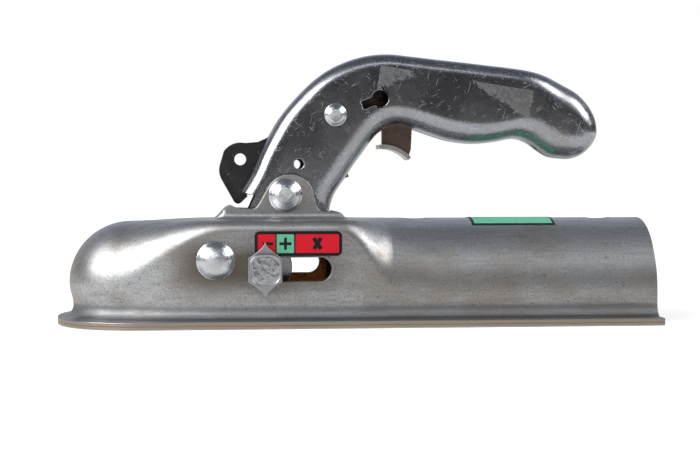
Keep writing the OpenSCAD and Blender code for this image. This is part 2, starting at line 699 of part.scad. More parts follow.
module pointer() {
    y0 = -outside;
    half_w = boss_d / 2;
    tip = pointer_h / 2;
    side_z = 0.43 * tip;
    boss_r = half_w - 0.4;
    boss_t = 3.6;
    rim = 0.8;
    // one shoulder, hollow from the tip to the straight side
    shoulder = [for (i = [0:7]) let (k = i / 8) [half_w * k, tip - (tip - side_z) * pow(k, 0.62)]];
    quarter = concat(shoulder, [[half_w, side_z]]);
    right = concat(quarter, [for (i = [len(quarter) - 1:-1:0]) [quarter[i][0], -quarter[i][1]]]);
    left = [for (i = [len(right) - 2:-1:1]) [-right[i][0], right[i][1]]];
    color(zinc) difference() {
        union() {
            upright(y0 - pointer_t, y0) translate([xp, slot_z]) polygon(concat(right, left));
            translate([xp, y0 - pointer_t, slot_z]) rotate([90, 0, 0]) {
                cylinder(r = boss_r, h = boss_t - rim, $fn = 48);
                translate([0, 0, boss_t - rim]) cylinder(r1 = boss_r, r2 = boss_r - rim, h = rim, $fn = 48);
            }
        }
        translate([xp, y0 + 1, slot_z]) rotate([90, 0, 0])
            cylinder(r = bolt_r + fit, h = pointer_t + 1 + fit, $fn = 48);
    }
}

module bolt_sleeve() {
    color(dark_steel) sleeve(xp, slot_z, -cheek_in + gap, cheek_in - gap, bolt_sleeve_r, bolt_r + fit);
}

module side_sleeve(side) {
    y0 = handle_w / 2 + gap;
    y1 = jaw_hw - jaw_sheet - 0.8;
    color(dark_steel) sleeve(xp, slot_z, side > 0 ? y0 : -y1, side > 0 ? y1 : -y0, bolt_sleeve_r, bolt_r + fit);
}

module bolt_roller(side) {
    y0 = jaw_hw - jaw_sheet - 0.5;
    y1 = jaw_hw + 0.5;
    color(bright) sleeve(xp, slot_z, side > 0 ? y0 : -y1, side > 0 ? y1 : -y0, roller_r, bolt_r + fit);
}

module slot_washer(side) {
    y0 = jaw_hw + 0.8;
    y1 = inner_hw - gap;
    color(zinc) sleeve(xp, slot_z, side > 0 ? y0 : -y1, side > 0 ? y1 : -y0, 8, bolt_r + fit);
}

body_shell();
jaw_rivet();
handle_rivet();
jaw_sleeve(-1);  // jaw_sleeve_near
jaw_sleeve(1);  // jaw_sleeve_far
slot_label(-1);  // slot_label_near
slot_label(1);  // slot_label_far
top_label();
ball_jaw();
handle_shell();
handle_sleeve();
catch_rivet();
catch_sleeve(-1);  // catch_sleeve_near
catch_sleeve(1);  // catch_sleeve_far
main_spring();
catch_spring();
catch_plate();
cross_bolt();
pointer();
bolt_sleeve();
side_sleeve(-1);  // side_sleeve_near
side_sleeve(1);  // side_sleeve_far
bolt_roller(-1);  // bolt_roller_near
bolt_roller(1);  // bolt_roller_far
slot_washer(-1);  // slot_washer_near
slot_washer(1);  // slot_washer_far
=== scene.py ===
import math

import bmesh
import bpy
from mathutils import Matrix, Vector
from mathutils.noise import fractal


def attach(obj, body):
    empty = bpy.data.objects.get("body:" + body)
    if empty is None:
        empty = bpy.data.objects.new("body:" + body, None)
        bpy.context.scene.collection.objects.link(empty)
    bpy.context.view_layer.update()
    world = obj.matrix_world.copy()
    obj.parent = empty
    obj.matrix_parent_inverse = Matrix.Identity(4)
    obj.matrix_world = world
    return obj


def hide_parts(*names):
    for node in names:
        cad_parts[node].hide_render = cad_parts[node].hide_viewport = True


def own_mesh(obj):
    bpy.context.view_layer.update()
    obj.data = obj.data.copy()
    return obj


bl_info = {
    "name": "Trailer Coupling Head",
    "version": (1, 0, 0),
    "blender": (4, 5, 0),
    "location": "3D View > Sidebar > Coupling",
    "description": "Finished pieces of a pressed-steel coupling head around its packed model",
    "category": "Object",
}

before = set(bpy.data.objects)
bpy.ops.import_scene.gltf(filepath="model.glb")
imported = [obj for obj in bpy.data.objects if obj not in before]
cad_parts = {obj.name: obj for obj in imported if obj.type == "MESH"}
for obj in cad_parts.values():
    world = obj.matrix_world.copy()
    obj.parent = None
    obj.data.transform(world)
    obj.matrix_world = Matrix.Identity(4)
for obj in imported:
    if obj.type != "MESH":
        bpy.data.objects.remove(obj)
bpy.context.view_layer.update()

# One millimetre in the frame's metres; shapes are drawn in millimetres
MM = 0.001


# Housing, as in the part's source
FRONT, REAR = -140.0, 140.0
FLANGE_HW = 46.0
FOOT_R = 5.0
PANEL_HW, PANEL_R, PANEL_TOP = 36.0, 5.5, 48.7
DOME_R, BALL_Z = 29.4, 18.5
NECK, NECK_GONE = 1.8, 22.0
TUBE_R, BAR_Z, BAR_STOP = 34.0, 15.0, 14.0
TUBE_TOP = BAR_Z + TUBE_R
# X of the ball, the jaw's rivet, the handle's rivet, the cross bolt and the catch's rivet
XB, XJ, XH, XP, XC = -105.2, -66.6, -33.6, -44.2, -9.7
JAW_Z, HANDLE_Z, SLOT_Z, CATCH_Z = 30.4, 59.9, 26.3, 97.75
COLLAR_HW, EAR_OUT, EAR_R, COLLAR_R = 13.5, 17.0, 11.6, 3.2
COLLAR_FRONT_Z, COLLAR_REAR_Z = 55.0, 52.2
LIP_FRONT, LIP_REAR = XH - 25, XH + 25
RAMP_FRONT, RAMP_REAR = LIP_FRONT - 8, LIP_REAR + 5
TALL = 26.0
# The slot, and how far the cross bolt moves along it
SLOT_X0, SLOT_X1, SLOT_H, TRAVEL = XP - 5.6, XP + 30.6, 10.8, 25.0
BOLT_HOLES_X, BOLT_HOLE_R, BOLT_HOLE_DEPTH = (120.0, 30.0), 6.25, 24.0
# Notch of the front lip, which the catch's hook goes through
NOTCH_HW, NOTCH_DEPTH = 2.5, 7.0
# Heads of the rivets, and the holes for their shanks
JAW_HEAD_R, HANDLE_HEAD_R, CATCH_HEAD_R = 8.75, 7.85, 5.25
SHANK_HOLE_R, CATCH_HOLE_R = 5.05, 3.05
# Half length of a tool that cuts through the whole housing or handle, and a height above them
THROUGH, HANDLE_THROUGH, ABOVE = 60.0, 20.0, 110.0


def mix(a, b, k):
    return a + (b - a) * k


def clamp01(k):
    return max(0.0, min(1.0, k))


def along(x, x0, x1):
    """Eased share of the way from x0 to x1."""
    k = clamp01((x - x0) / (x1 - x0))
    return k * k * (3 - 2 * k)


# Lean of the nose's sides in plan at the ball's centre, and how far behind it they run straight
LEAN, LEAN_GONE = math.radians(12.5), 58.0


def lean(x):
    return LEAN * (1 - along(x, XB, XB + LEAN_GONE))


def leaned(x, steps=60):
    """How far the leaning sides have spread at x."""
    reach = max(0.0, min(x - XB, LEAN_GONE))
    return sum(math.sin(lean(XB + reach * (i + 0.5) / steps)) for i in range(steps)) * reach / steps


def body_hw(x):
    if x < 0:
        return mix(DOME_R, PANEL_HW, leaned(x) / leaned(0))
    return mix(PANEL_HW, TUBE_R, along(x, 0, BAR_STOP))


def body_top(x):
    if x < XJ:
        return mix(BALL_Z + DOME_R, PANEL_TOP, along(x, XB, XJ))
    return mix(PANEL_TOP, TUBE_TOP, along(x, 0, BAR_STOP))


def body_r(x):
    if x < -10:
        return mix(DOME_R, PANEL_R, along(x, XB - 4, XJ + 6))
    return mix(PANEL_R, TUBE_R, along(x, -10, BAR_STOP + 6))


def body_neck(x):
    """How far the dome's wall is drawn in at its foot."""
    return NECK * (1 - along(x, XB, XB + NECK_GONE))


def collar_rise(x):
    if x <= RAMP_FRONT or x >= RAMP_REAR:
        return 0.0
    if x <= LIP_FRONT:
        return (COLLAR_FRONT_Z - PANEL_TOP) * along(x, RAMP_FRONT, LIP_FRONT)
    if x >= LIP_REAR:
        return (COLLAR_REAR_Z - PANEL_TOP) * along(x, RAMP_REAR, LIP_REAR)
    return TALL


def crown(y, w, t, r):
    """Top of a section without its collar, at distance y from the middle."""
    if y <= w - r:
        return t
    return t - r + math.sqrt(max(0.0, r * r - (y - w + r) ** 2))


FOOT_STEPS, WALL_STEPS, SHOULDER_STEPS, ROOT_STEPS = 7, 6, 18, 5
# The rim's points, as their distance from the middle and how far they face outwards
RIM = ((12.0, 0.5), (9.0, 0.3), (6.0, 0.2), (3.0, 0.1), (0.0, 0))


def crown_normal(y, w, r):
    """Direction that a section's top faces at distance y."""
    c = clamp01((y - w + r) / r)
    return c, math.sqrt(1 - c * c)


def wall_points(x, off):
    """One half of the housing's section at x, from the foot to the middle, moved inwards by off."""
    w, t, r, neck, rise = body_hw(x), body_top(x), body_r(x), body_neck(x), collar_rise(x)
    sheet = sizes().sheet
    foot_x, foot_z = w - neck + FOOT_R, sheet + FOOT_R
    points = []
    for i in range(FOOT_STEPS + 1):
        a = math.radians(270 - 90 * i / FOOT_STEPS)
        points.append((foot_x + (FOOT_R + off) * math.cos(a), foot_z + (FOOT_R + off) * math.sin(a)))
    for i in range(1, WALL_STEPS):
        k = i / WALL_STEPS
        points.append((w - off - neck * (1 - along(k, 0, 1)), mix(foot_z, t - r, k)))
    base = EAR_OUT + COLLAR_R
    end = math.acos(clamp01((base - w + r) / r))
    for i in range(SHOULDER_STEPS + 1):
        a = end * i / SHOULDER_STEPS
        points.append((w - r + (r - off) * math.cos(a), t - r + (r - off) * math.sin(a)))
    root = min(COLLAR_R, rise * 0.8)
    stands = clamp01(rise / 5)
    top = []
    for i in range(1, ROOT_STEPS + 1):
        a = math.radians(90 * i / ROOT_STEPS)
        top.append((base - COLLAR_R * math.sin(a), root * (1 - math.cos(a)), (math.sin(a), math.cos(a))))
    rim_y = mix(EAR_OUT - 1.6, EAR_OUT - 0.01, stands)
    top += [(rim_y, rise, (1, 1))] + [(y, rise, (outwards, 1)) for y, outwards in RIM]
    for y, lift, facing in top:
        n = [mix(p, q, stands) for p, q in zip(crown_normal(y, w, r), facing)]
        points.append((max(0.0, y - off * n[0]), crown(y, w, t, r) + lift - off * n[1]))
    return points


def section(x):
    """One half of the sheet's section at x as a closed loop: flange edge, outer face, inner face, sole."""
    outer, inner = wall_points(x, 0.0), wall_points(x, sizes().sheet)
    return outer + inner[::-1]


def linear(code):
    """Linear RGBA of an sRGB hex colour."""
    channels = [int(code[i:i + 2], 16) / 255 for i in (1, 3, 5)]
    return tuple(c / 12.92 if c <= 0.04045 else ((c + 0.055) / 1.055) ** 2.4 for c in channels) + (1.0,)


def colour_property(name, code, description):
    return bpy.props.FloatVectorProperty(
        name=name, description=description, subtype="COLOR", size=4, min=0, max=1, default=linear(code))


def size_property(name, description, default, low, high):
    return bpy.props.FloatProperty(
        name=name, description=f"{description} in mm", default=default, min=low, max=high)


class CouplingSizes(bpy.types.PropertyGroup):
    """Sizes in millimetres"""
    sheet: size_property("Housing sheet", "Thickness of the housing's steel sheet", 3.5, 3, 4)
    handle_sheet: size_property("Handle sheet", "Thickness of the handle's steel sheet", 2.0, 1.6, 2.4)
    housing_edge: size_property("Housing edge", "Rounding of the housing's cut edges", 0.45, 0.1, 1)
    handle_edge: size_property("Handle edge", "Rounding of the handle's cut edges", 0.5, 0.1, 0.8)
    plate_edge: size_property("Plate edge", "Rounding of small punched plates", 0.3, 0.1, 0.8)


class CouplingColours(bpy.types.PropertyGroup):
    """Colours of metals and labels"""
    zinc: colour_property("Zinc", "#b9bbbd", "Zinc plating on the pressed housing")
    zinc_aged: colour_property("Aged zinc", "#9e958c", "Zinc plating where it has yellowed")
    sheared: colour_property("Sheared edge", "#9f9486", "Cut edge of the flange")
    handle: colour_property("Handle zinc", "#9a9ca2", "Bright zinc plating on the handle")
    glue: colour_property("Glue", "#51504d", "Glue left by a label on the grip")
    rivet: colour_property("Rivet steel", "#c2c5c9", "Bright plated rivet heads")
    cast: colour_property("Cast zinc", "#a6a8aa", "Cast pointer")
    dark: colour_property("Dark steel", "#4b4a4c", "Catch plate and springs")
    trigger: colour_property("Trigger steel", "#7b6a5f", "Trigger of the catch")
    forged: colour_property("Forged steel", "#7e7871", "Jaw and cross bolt")
    label_red: colour_property("Label red", "#c80c23", "Red cells of the slot label")
    label_green: colour_property("Label green", "#60ae8c", "Green cell and top label")
    label_black: colour_property("Label black", "#08080a", "Borders and signs of the labels")


def sizes():
    return bpy.context.scene.coupling_sizes


def colours():
    return bpy.context.scene.coupling_colours


def grid(cols, rows, place, second=range(0)):
    """A sheet of cols by rows points, the point in column i and row j moved to place(i, j).

    Faces that start in one of the rows named by second take the second material.
    """
    bm = bmesh.new()
    bmesh.ops.create_grid(bm, x_segments=cols - 1, y_segments=rows - 1, size=1)
    row_of = {}
    for v in bm.verts:
        i = round((v.co.x + 1) / 2 * (cols - 1))
        row_of[v] = round((v.co.y + 1) / 2 * (rows - 1))
        v.co = place(i, row_of[v])
    for face in bm.faces:
        face.material_index = int(min(row_of[v] for v in face.verts) in second)
    return bm


def tidy(bm, gap=0.001):
    bmesh.ops.remove_doubles(bm, verts=bm.verts, dist=gap)
    bmesh.ops.dissolve_degenerate(bm, edges=bm.edges, dist=gap / 2)
    bmesh.ops.recalc_face_normals(bm, faces=bm.faces)
    return bm


def plate(outline, y0, y1):
    """A flat plate standing in the XZ plane between y0 and y1."""
    bm = bmesh.new()
    face = bm.faces.new([bm.verts.new((x, y0, z)) for x, z in outline])
    out = bmesh.ops.extrude_face_region(bm, geom=[face])
    back = [v for v in out["geom"] if isinstance(v, bmesh.types.BMVert)]
    bmesh.ops.translate(bm, verts=back, vec=(0, y1 - y0, 0))
    bmesh.ops.recalc_face_normals(bm, faces=bm.faces)
    return bm


def box(low, high):
    bm = bmesh.new()
    bmesh.ops.create_cube(bm, size=1)
    low, high = Vector(low), Vector(high)
    for v in bm.verts:
        v.co = Vector(mix(a, b, c + 0.5) for a, b, c in zip(low, high, v.co))
    return bm


def moved(bm, vec, turn=0.0):
    """Turns a bmesh about Y and then moves it."""
    if turn:
        bmesh.ops.rotate(bm, verts=bm.verts, cent=(0, 0, 0), matrix=Matrix.Rotation(turn, 3, "Y"))
    bmesh.ops.translate(bm, verts=bm.verts, vec=vec)
    return bm


def upright_rod(r, length):
    bm = bmesh.new()
    bmesh.ops.create_cone(bm, cap_ends=True, segments=64, radius1=r, radius2=r, depth=length)
    return bm


def rod(x, z, r, y0, y1):
    """A round rod along Y."""
    bm = upright_rod(r, y1 - y0)
    bmesh.ops.rotate(bm, verts=bm.verts, cent=(0, 0, 0), matrix=Matrix.Rotation(math.radians(90), 3, "X"))
    return moved(bm, (x, (y0 + y1) / 2, z))


def bore(x, z, r, reach):
    """A rod as long to the near side as to the far one."""
    return rod(x, z, r, -reach, reach)


def turned(profile, x, z, steps=72):
    """A solid turned about the line along Y through x and z, from its profile of (radius, y) points."""
    bm = bmesh.new()
    verts = [bm.verts.new((x + r, y, z)) for r, y in profile]
    edges = [bm.edges.new(pair) for pair in zip(verts, verts[1:])]
    bmesh.ops.spin(bm, geom=verts + edges, cent=(x, 0, z), axis=(0, 1, 0), angle=math.tau, steps=steps,
                   use_merge=True)
    return tidy(bm)


def swept(path, r, sides=12):
    """A round wire along a path of points, closed at both ends."""
    points = [Vector(p) for p in path]
    rings, side = [], None
    for i, p in enumerate(points):
        t = (points[min(len(points) - 1, i + 1)] - points[max(0, i - 1)]).normalized()
        if side is None:
            side = t.cross(Vector((0, 1, 0)) if abs(t.y) < 0.9 else Vector((1, 0, 0)))
        side = (side - t * side.dot(t)).normalized()
        other = t.cross(side)
        rings.append([p + r * (math.cos(a) * side + math.sin(a) * other)
                      for a in (math.tau * k / sides for k in range(sides + 1))])
    bm = grid(sides + 1, len(points), lambda i, j: rings[j][i])
    bmesh.ops.remove_doubles(bm, verts=bm.verts, dist=0.0005)
    ends = [e for e in bm.edges if e.is_boundary]
    bmesh.ops.edgeloop_fill(bm, edges=ends)
    bmesh.ops.recalc_face_normals(bm, faces=bm.faces)
    return bm


def shifted(x, z, points):
    """An outline drawn about the point x, z."""
    return [(x + right, z + up) for right, up in points]


def arc(x, z, r, a0, a1, steps):
    return [(x + r * math.cos(math.radians(mix(a0, a1, i / steps))),
             z + r * math.sin(math.radians(mix(a0, a1, i / steps)))) for i in range(steps + 1)]


def as_object(name, bm):
    mesh = bpy.data.meshes.new(name)
    bm.to_mesh(mesh)
    bm.free()
    thing = bpy.data.objects.new(name, mesh)
    bpy.context.scene.collection.objects.link(thing)
    return thing


def applied(thing):
    """Bakes an object's modifiers into its mesh."""
    graph = bpy.context.evaluated_depsgraph_get()
    mesh = bpy.data.meshes.new_from_object(thing.evaluated_get(graph))
    thing.modifiers.clear()
    old = thing.data
    thing.data = mesh
    bpy.data.meshes.remove(old)
    return thing


def carved(thing, tools, operation="DIFFERENCE"):
    """Cuts each tool out of a closed object, or adds it, and removes the tool."""
    for tool in tools:
        cutter = as_object("tool", tool)
        carve = thing.modifiers.new("carve", "BOOLEAN")
        carve.object, carve.operation, carve.solver = cutter, operation, "EXACT"
        applied(thing)
        bpy.data.objects.remove(cutter)
    if not thing.data.polygons:
        raise RuntimeError(f"nothing is left of {thing.name} after its cuts")
    return thing


def walled(thing, thickness):
    wall = thing.modifiers.new("wall", "SOLIDIFY")
    wall.thickness, wall.offset, wall.use_even_offset = thickness, -1, True
    return applied(thing)


def weigh_edges(mesh, angle, chosen):
    """Marks the sharp edges for rounding whose middles, in mm, are chosen."""
    bm = bmesh.new()
    bm.from_mesh(mesh)
    weight = bm.edges.layers.float.new("bevel_weight_edge")
    for edge in bm.edges:
        middle = (edge.verts[0].co + edge.verts[1].co) / (2 * MM)
        if edge.is_manifold and edge.calc_face_angle(0) > angle and chosen(middle):
            edge[weight] = 1.0
    bm.to_mesh(mesh)
    bm.free()


def round_edges(thing, width, segments, angle, chosen=None):
    """Rounds an object's sharp edges by a width in mm, or only those that chosen picks."""
    rounding = thing.modifiers.new("edges", "BEVEL")
    rounding.width, rounding.segments, rounding.harden_normals = width * MM, segments, True
    rounding.limit_method, rounding.angle_limit = "ANGLE", math.radians(angle)
    if chosen:
        weigh_edges(thing.data, math.radians(angle), chosen)
        rounding.limit_method, rounding.use_clamp_overlap = "WEIGHT", False


def finish_piece(thing, body, key, stands_for=(), edge=0.0, segments=2, angle=32.0, chosen=None):
    """Scales a piece drawn in mm to the frame, shades it, rounds its edges and lets it ride on its body."""
    thing.data.transform(Matrix.Scale(MM, 4))
    if key:
        thing.data.materials.append(material(key))
    thing.data.shade_smooth()
    thing.data.set_sharp_from_angle(angle=math.radians(angle))
    if edge:
        round_edges(thing, edge, segments, angle, chosen)
    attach(thing, body)
    if stands_for:
        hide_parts(*stands_for)


class Graph:
    """A node tree, with short ways to add the nodes that materials are made of."""

    def __init__(self, owner):
        owner.use_nodes = True
        self.tree = owner.node_tree
        self.tree.nodes.clear()

    def feed(self, socket, value):
        """Links a socket to another one, or gives it a constant."""
        if isinstance(value, bpy.types.NodeSocket):
            self.tree.links.new(value, socket)
        else:
            socket.default_value = value

    def add(self, kind, inputs=None, **settings):
        """Adds a shader node with its settings, and sets or links its inputs."""
        node = self.tree.nodes.new(f"ShaderNode{kind}")
        for key, value in settings.items():
            setattr(node, key, value)
        for key, value in (inputs or {}).items():
            self.feed(node.inputs[key], value)
        return node

    def ramp(self, value, low, high, to_low=0.0, to_high=1.0):
        return self.add("MapRange", {
            "Value": value, "From Min": low, "From Max": high, "To Min": to_low, "To Max": to_high},
            interpolation_type="SMOOTHSTEP").outputs["Result"]

    def maths(self, operation, first, *others):
        """Works through the values from the first to the last."""
        for other in others:
            first = self.add("Math", {0: first, 1: other}, operation=operation).outputs[0]
        return first

    def times(self, *values):
        return self.maths("MULTIPLY", *values)

    def plus(self, *values):
        return self.maths("ADD", *values)

    def size_of(self, value):
        return self.maths("ABSOLUTE", value, 0.0)

    def vector(self, operation, first, settings):
        """The outputs of a vector sum: the vector, and the value where it gives one."""
        return self.add("VectorMath", {0: first, **settings}, operation=operation).outputs

    def band(self, value, low, high, soft):
        """1 where value lies between low and high, with soft edges."""
        rise = self.ramp(value, low - soft, low + soft)
        return self.times(rise, self.ramp(value, high - soft, high + soft, 1, 0))

    def layered(self, colour, *layers):
        """A colour with others over it in turn, each as its share and the colour or its hex code."""
        for share, over in layers:
            node = self.add("Mix", data_type="RGBA", blend_type="MIX")
            over = linear(over) if isinstance(over, str) else over
            for socket, value in zip((0, 6, 7), (share, colour, over)):
                self.feed(node.inputs[socket], value)
            colour = node.outputs[2]
        return colour


# Width of a scratch in mm
SCRATCH_W = 0.26


class Paint(Graph):
    """A new material with a Principled shader, drawn in object coordinates."""

    def __init__(self, name):
        self.material = bpy.data.materials.new(name)
        super().__init__(self.material)
        self.shader = self.add("BsdfPrincipled")
        self.add("OutputMaterial", {"Surface": self.shader.outputs[0]})
        self.place = self.add("TexCoord").outputs["Object"]

    def noise(self, mm, detail, roughness, stretch=1, distortion=0.0, place=None):
        """Noise whose lumps are about mm millimetres apart, stretched along the X axis of place."""
        mapped = self.add("Mapping", {"Vector": place or self.place, "Scale": [1 / stretch, 1, 1]})
        return self.add("TexNoise", {
            "Vector": mapped.outputs[0], "Scale": 1 / (mm * MM), "Detail": detail,
            "Roughness": roughness, "Distortion": distortion}).outputs["Fac"]

    def axes(self, place=None):
        """The three coordinates of a place in millimetres."""
        scaled = self.vector("SCALE", place or self.place, {"Scale": 1 / MM})
        return self.add("SeparateXYZ", {0: scaled[0]}).outputs

    def tilted(self, degrees, at=(0, 0, 0)):
        """Coordinates turned about Y, with their origin moved to a point given in mm."""
        offset = self.vector("SUBTRACT", self.place, {1: [c * MM for c in at]})
        return self.add("VectorRotate", {
            "Vector": offset[0], "Angle": math.radians(degrees)}, rotation_type="Y_AXIS").outputs[0]

    def distance(self, x, z):
        """Distance in mm from the line along Y through x and z."""
        flat = self.vector("MULTIPLY", self.place, {1: (1 / MM, 0, 1 / MM)})
        return self.vector("DISTANCE", flat[0], {1: (x, 0, z)})["Value"]

    def scratches(self, *sets):
        """Short straight scratches, in sets of a direction, a length in mm and what the noise must reach."""
        shown = []
        for degrees, length_mm, share in sets:
            along_them = self.tilted(degrees)
            lines = self.noise(SCRATCH_W, 0, 0.4, length_mm / SCRATCH_W, place=along_them)
            patches = self.noise(7, 2, 0.5, place=along_them)
            shown.append(self.times(self.ramp(lines, share, share + 0.05), self.ramp(patches, 0.48, 0.56)))
        return self.maths("MAXIMUM", *shown)

    def finished(self, colour, roughness, metallic, height, depth_mm, strength):
        """Gives the shader its inputs and its bumps, and returns the material."""
        for key, value in (("Base Color", colour), ("Roughness", roughness), ("Metallic", metallic)):
            self.feed(self.shader.inputs[key], value)
        bump = self.add("Bump", {"Height": height, "Distance": depth_mm * MM, "Strength": strength})
        self.feed(self.shader.inputs["Normal"], bump.outputs[0])
        return self.material


def pressed_zinc(name="Zinc-plated pressed steel", greased=False):
    """Cold-pressed, zinc-plated sheet: satin grain, drawing streaks, small dark marks, and painted shade on
    the flats (with some yellowing), on the flange's top and on the foot fillet.
    """
    g, c = Paint(name), colours()
    x, _, z = g.axes()
    clouds = g.noise(30, 4, 0.6, 1.6)
    streaks = g.noise(1.6, 4, 0.65, 14)
    grain = g.noise(0.55, 2, 0.6)
    stains = g.noise(5, 5, 0.7, 4, 0.6, g.tilted(24))
    marks = g.noise(0.8, 3, 0.6, 2.4, place=g.tilted(-20))
    # Painted shade with some yellowing: the flat side panels are darkened towards a brown grey
    flats_shade_and_yellowing = g.times(g.band(x, XB + 22, -8, 14), g.band(z, 18, 38, 8), g.ramp(clouds, 0.3, 0.6, 0.55, 1))
    facing = g.add("SeparateXYZ", {0: g.add("NewGeometry").outputs["Normal"]}).outputs
    sheared = g.times(g.ramp(g.size_of(facing[2]), 0.25, 0.5, 1, 0), g.ramp(z, 3.1, 3.4, 1, 0))
    crack = g.times(sheared, g.band(g.plus(z, streaks), 2.0, 2.2, 0.2))
    # Painted shade: a dark band along the flange's top, for the dark room it reflects
    flange_top_painted_shade = g.times(g.band(z, 3.3, 4.6, 0.2), 0.45)
    # Painted shade: the foot fillet's colour is darkened to damp the lamps' highlight there; its roughness is
    # raised too
    foot = g.band(z, 4.6, 9.5, 1.0)
    colour = g.layered(
        c.zinc, (g.ramp(clouds, 0.42, 0.66, 0, 0.75), c.zinc_aged),
        (g.ramp(streaks, 0.4, 0.72, 0, 0.42), "#85817c"),
        (g.ramp(stains, 0.58, 0.76, 0, 0.3), "#6e6a66"), (g.ramp(grain, 0.44, 0.66, 0, 0.5), "#6f6e6d"),
        (g.ramp(marks, 0.65, 0.71, 0, 0.8), "#3c3c3e"), (flats_shade_and_yellowing, "#655c54"), (sheared, c.sheared),
        (crack, "#4d4640"), (flange_top_painted_shade, "#53565b"), (g.times(foot, 0.55), "#626468"))
    rough = g.plus(g.ramp(clouds, 0.3, 0.75, 0.4, 0.46), g.ramp(streaks, 0.3, 0.8, -0.03, 0.05),
                   g.times(foot, 0.12))
    metal = 1.0
    if greased:
        works = g.times(g.band(x, -88, 16, 12), g.ramp(g.noise(14, 4, 0.6), 0.2, 0.5))
        rust = g.times(g.band(x, -30, -11, 2), g.band(z, 16, 27, 1.5), g.ramp(g.noise(2.5, 4, 0.6), 0.3, 0.5))
        colour = g.layered(colour, (works, "#1c1613"), (rust, "#ff9a48"))
        metal = g.maths("SUBTRACT", metal, rust)
        rough = g.plus(rough, g.times(works, -0.1))
    return g.finished(colour, rough, metal, g.plus(g.times(streaks, 0.5), g.times(grain, 0.5)), 0.1, 0.6)


# Glue left by a label on the near side of the grip: its corner, tilt in degrees, height, and both tears' lean
GLUE_AT, GLUE_TURN, GLUE_H, GLUE_TEARS = (11.4, -13, 121.0), -9.0, 12.5, (-1.4, 2.2)


def bright_zinc():
    """Handle sheet, polished before plating: dark mirror with short scratches, and glue left by a label."""
    g, c = Paint("Bright zinc-plated sheet"), colours()
    clouds = g.noise(18, 3, 0.55)
    speckle = g.noise(0.5, 2, 0.6)
    scratch = g.scratches((28, 8.0, 0.73), (-47, 6.0, 0.74), (74, 9.0, 0.74), (8, 4.0, 0.75))
    glue_x, glue_y, glue_z = g.axes(g.tilted(GLUE_TURN, GLUE_AT))
    ragged = g.noise(3.6, 10, 0.85)
    torn = [g.plus(glue_x, g.times(glue_z, tear)) for tear in GLUE_TEARS]
    first = g.times(g.ramp(glue_x, 0, 0.5), g.ramp(torn[0], 8, 36, 0.5, 0.15))
    second = g.times(g.ramp(glue_x, 74.5, 75, 1, 0), g.ramp(torn[1], 26, 54, 0.15, 0.5))
    glue = g.times(g.ramp(g.plus(ragged, g.maths("MAXIMUM", first, second)), 0.9, 1.04),
                   g.band(glue_z, -GLUE_H, 0, 0.3), g.ramp(glue_y, 2.0, 3.0, 1, 0))
    colour = g.layered(
        c.handle, (g.ramp(speckle, 0.46, 0.68, 0, 0.6), "#6c6d71"),
        (g.ramp(clouds, 0.48, 0.7, 0, 0.3), "#8b8680"), (g.times(scratch, 0.6), "#e4e5e6"), (glue, c.glue))
    rough = g.plus(g.ramp(clouds, 0.3, 0.7, 0.23, 0.29), g.times(scratch, 0.3), g.times(glue, 0.45))
    metal = g.maths("SUBTRACT", 1.0, g.times(glue, 0.9))
    return g.finished(colour, rough, metal, g.plus(speckle, g.times(glue, 0.6)), 0.07, 0.6)


def rivet_steel(name, x, z, head_r, worked):
    """A rivet's plated steel: bright rim, and a centre beaten flat and duller by the riveting tool."""
    g = Paint(name)
    r = g.maths("DIVIDE", g.distance(x, z), head_r)
    dents = g.noise(1.3, 5, 0.72, distortion=1.2)
    grain = g.noise(0.45, 2, 0.6)
    centre = g.ramp(g.plus(r, g.times(dents, 0.25)), 0.5, 0.78, worked, 0)
    spot = g.times(centre, g.ramp(dents, 0.5, 0.62, 0, 0.7))
    colour = g.layered(
        colours().rivet, (g.ramp(grain, 0.48, 0.7, 0, 0.45), "#8d8f92"), (g.times(centre, 0.45), "#8b8b8c"),
        (spot, "#757373"))
    deep = g.times(dents, g.plus(g.times(centre, 1.4), 0.06))
    height = g.plus(deep, g.times(grain, 0.1))
    return g.finished(colour, g.plus(0.25, g.times(centre, 0.14)), 1.0, height, 0.6, 0.9)


def plain_metal(name, colour, tint, rough, spread, grain_mm, depth_mm, strength):
    """A metal with a fine grain in its gloss and patches of a tint in its colour."""
    g = Paint(name)
    grain = g.noise(grain_mm, 3, 0.6)
    patches = g.noise(grain_mm * 9, 3, 0.55)
    colour = g.layered(colour, (g.ramp(patches, 0.4, 0.75, 0, 0.4), tint))
    rough = g.ramp(grain, 0.3, 0.7, rough - spread, rough + spread)
    return g.finished(colour, rough, 1.0, grain, depth_mm, strength)


def catch_steel():
    """Punched spring steel: nearly black with scratches, browner at the trigger, bright where pulled."""
    g, c = Paint("Blackened spring steel"), colours()
    x, y, _ = g.axes()
    grain = g.noise(0.8, 3, 0.6)
    patches = g.noise(7, 4, 0.6)
    trigger = g.ramp(x, XC + 8, XC + 22)
    pad = g.times(trigger, g.ramp(g.size_of(y), 1.6, 1.9))
    colour = g.layered(
        c.dark, (trigger, c.trigger), (g.ramp(patches, 0.45, 0.7, 0, 0.5), "#3c322c"),
        (g.scratches((35, 6, 0.77), (-62, 4.5, 0.78)), "#b9b9ba"), (pad, "#c4c0bb"))
    height = g.plus(grain, g.times(patches, 0.6))
    return g.finished(colour, g.ramp(grain, 0.3, 0.7, 0.3, 0.42), 1.0, height, 0.06, 0.6)


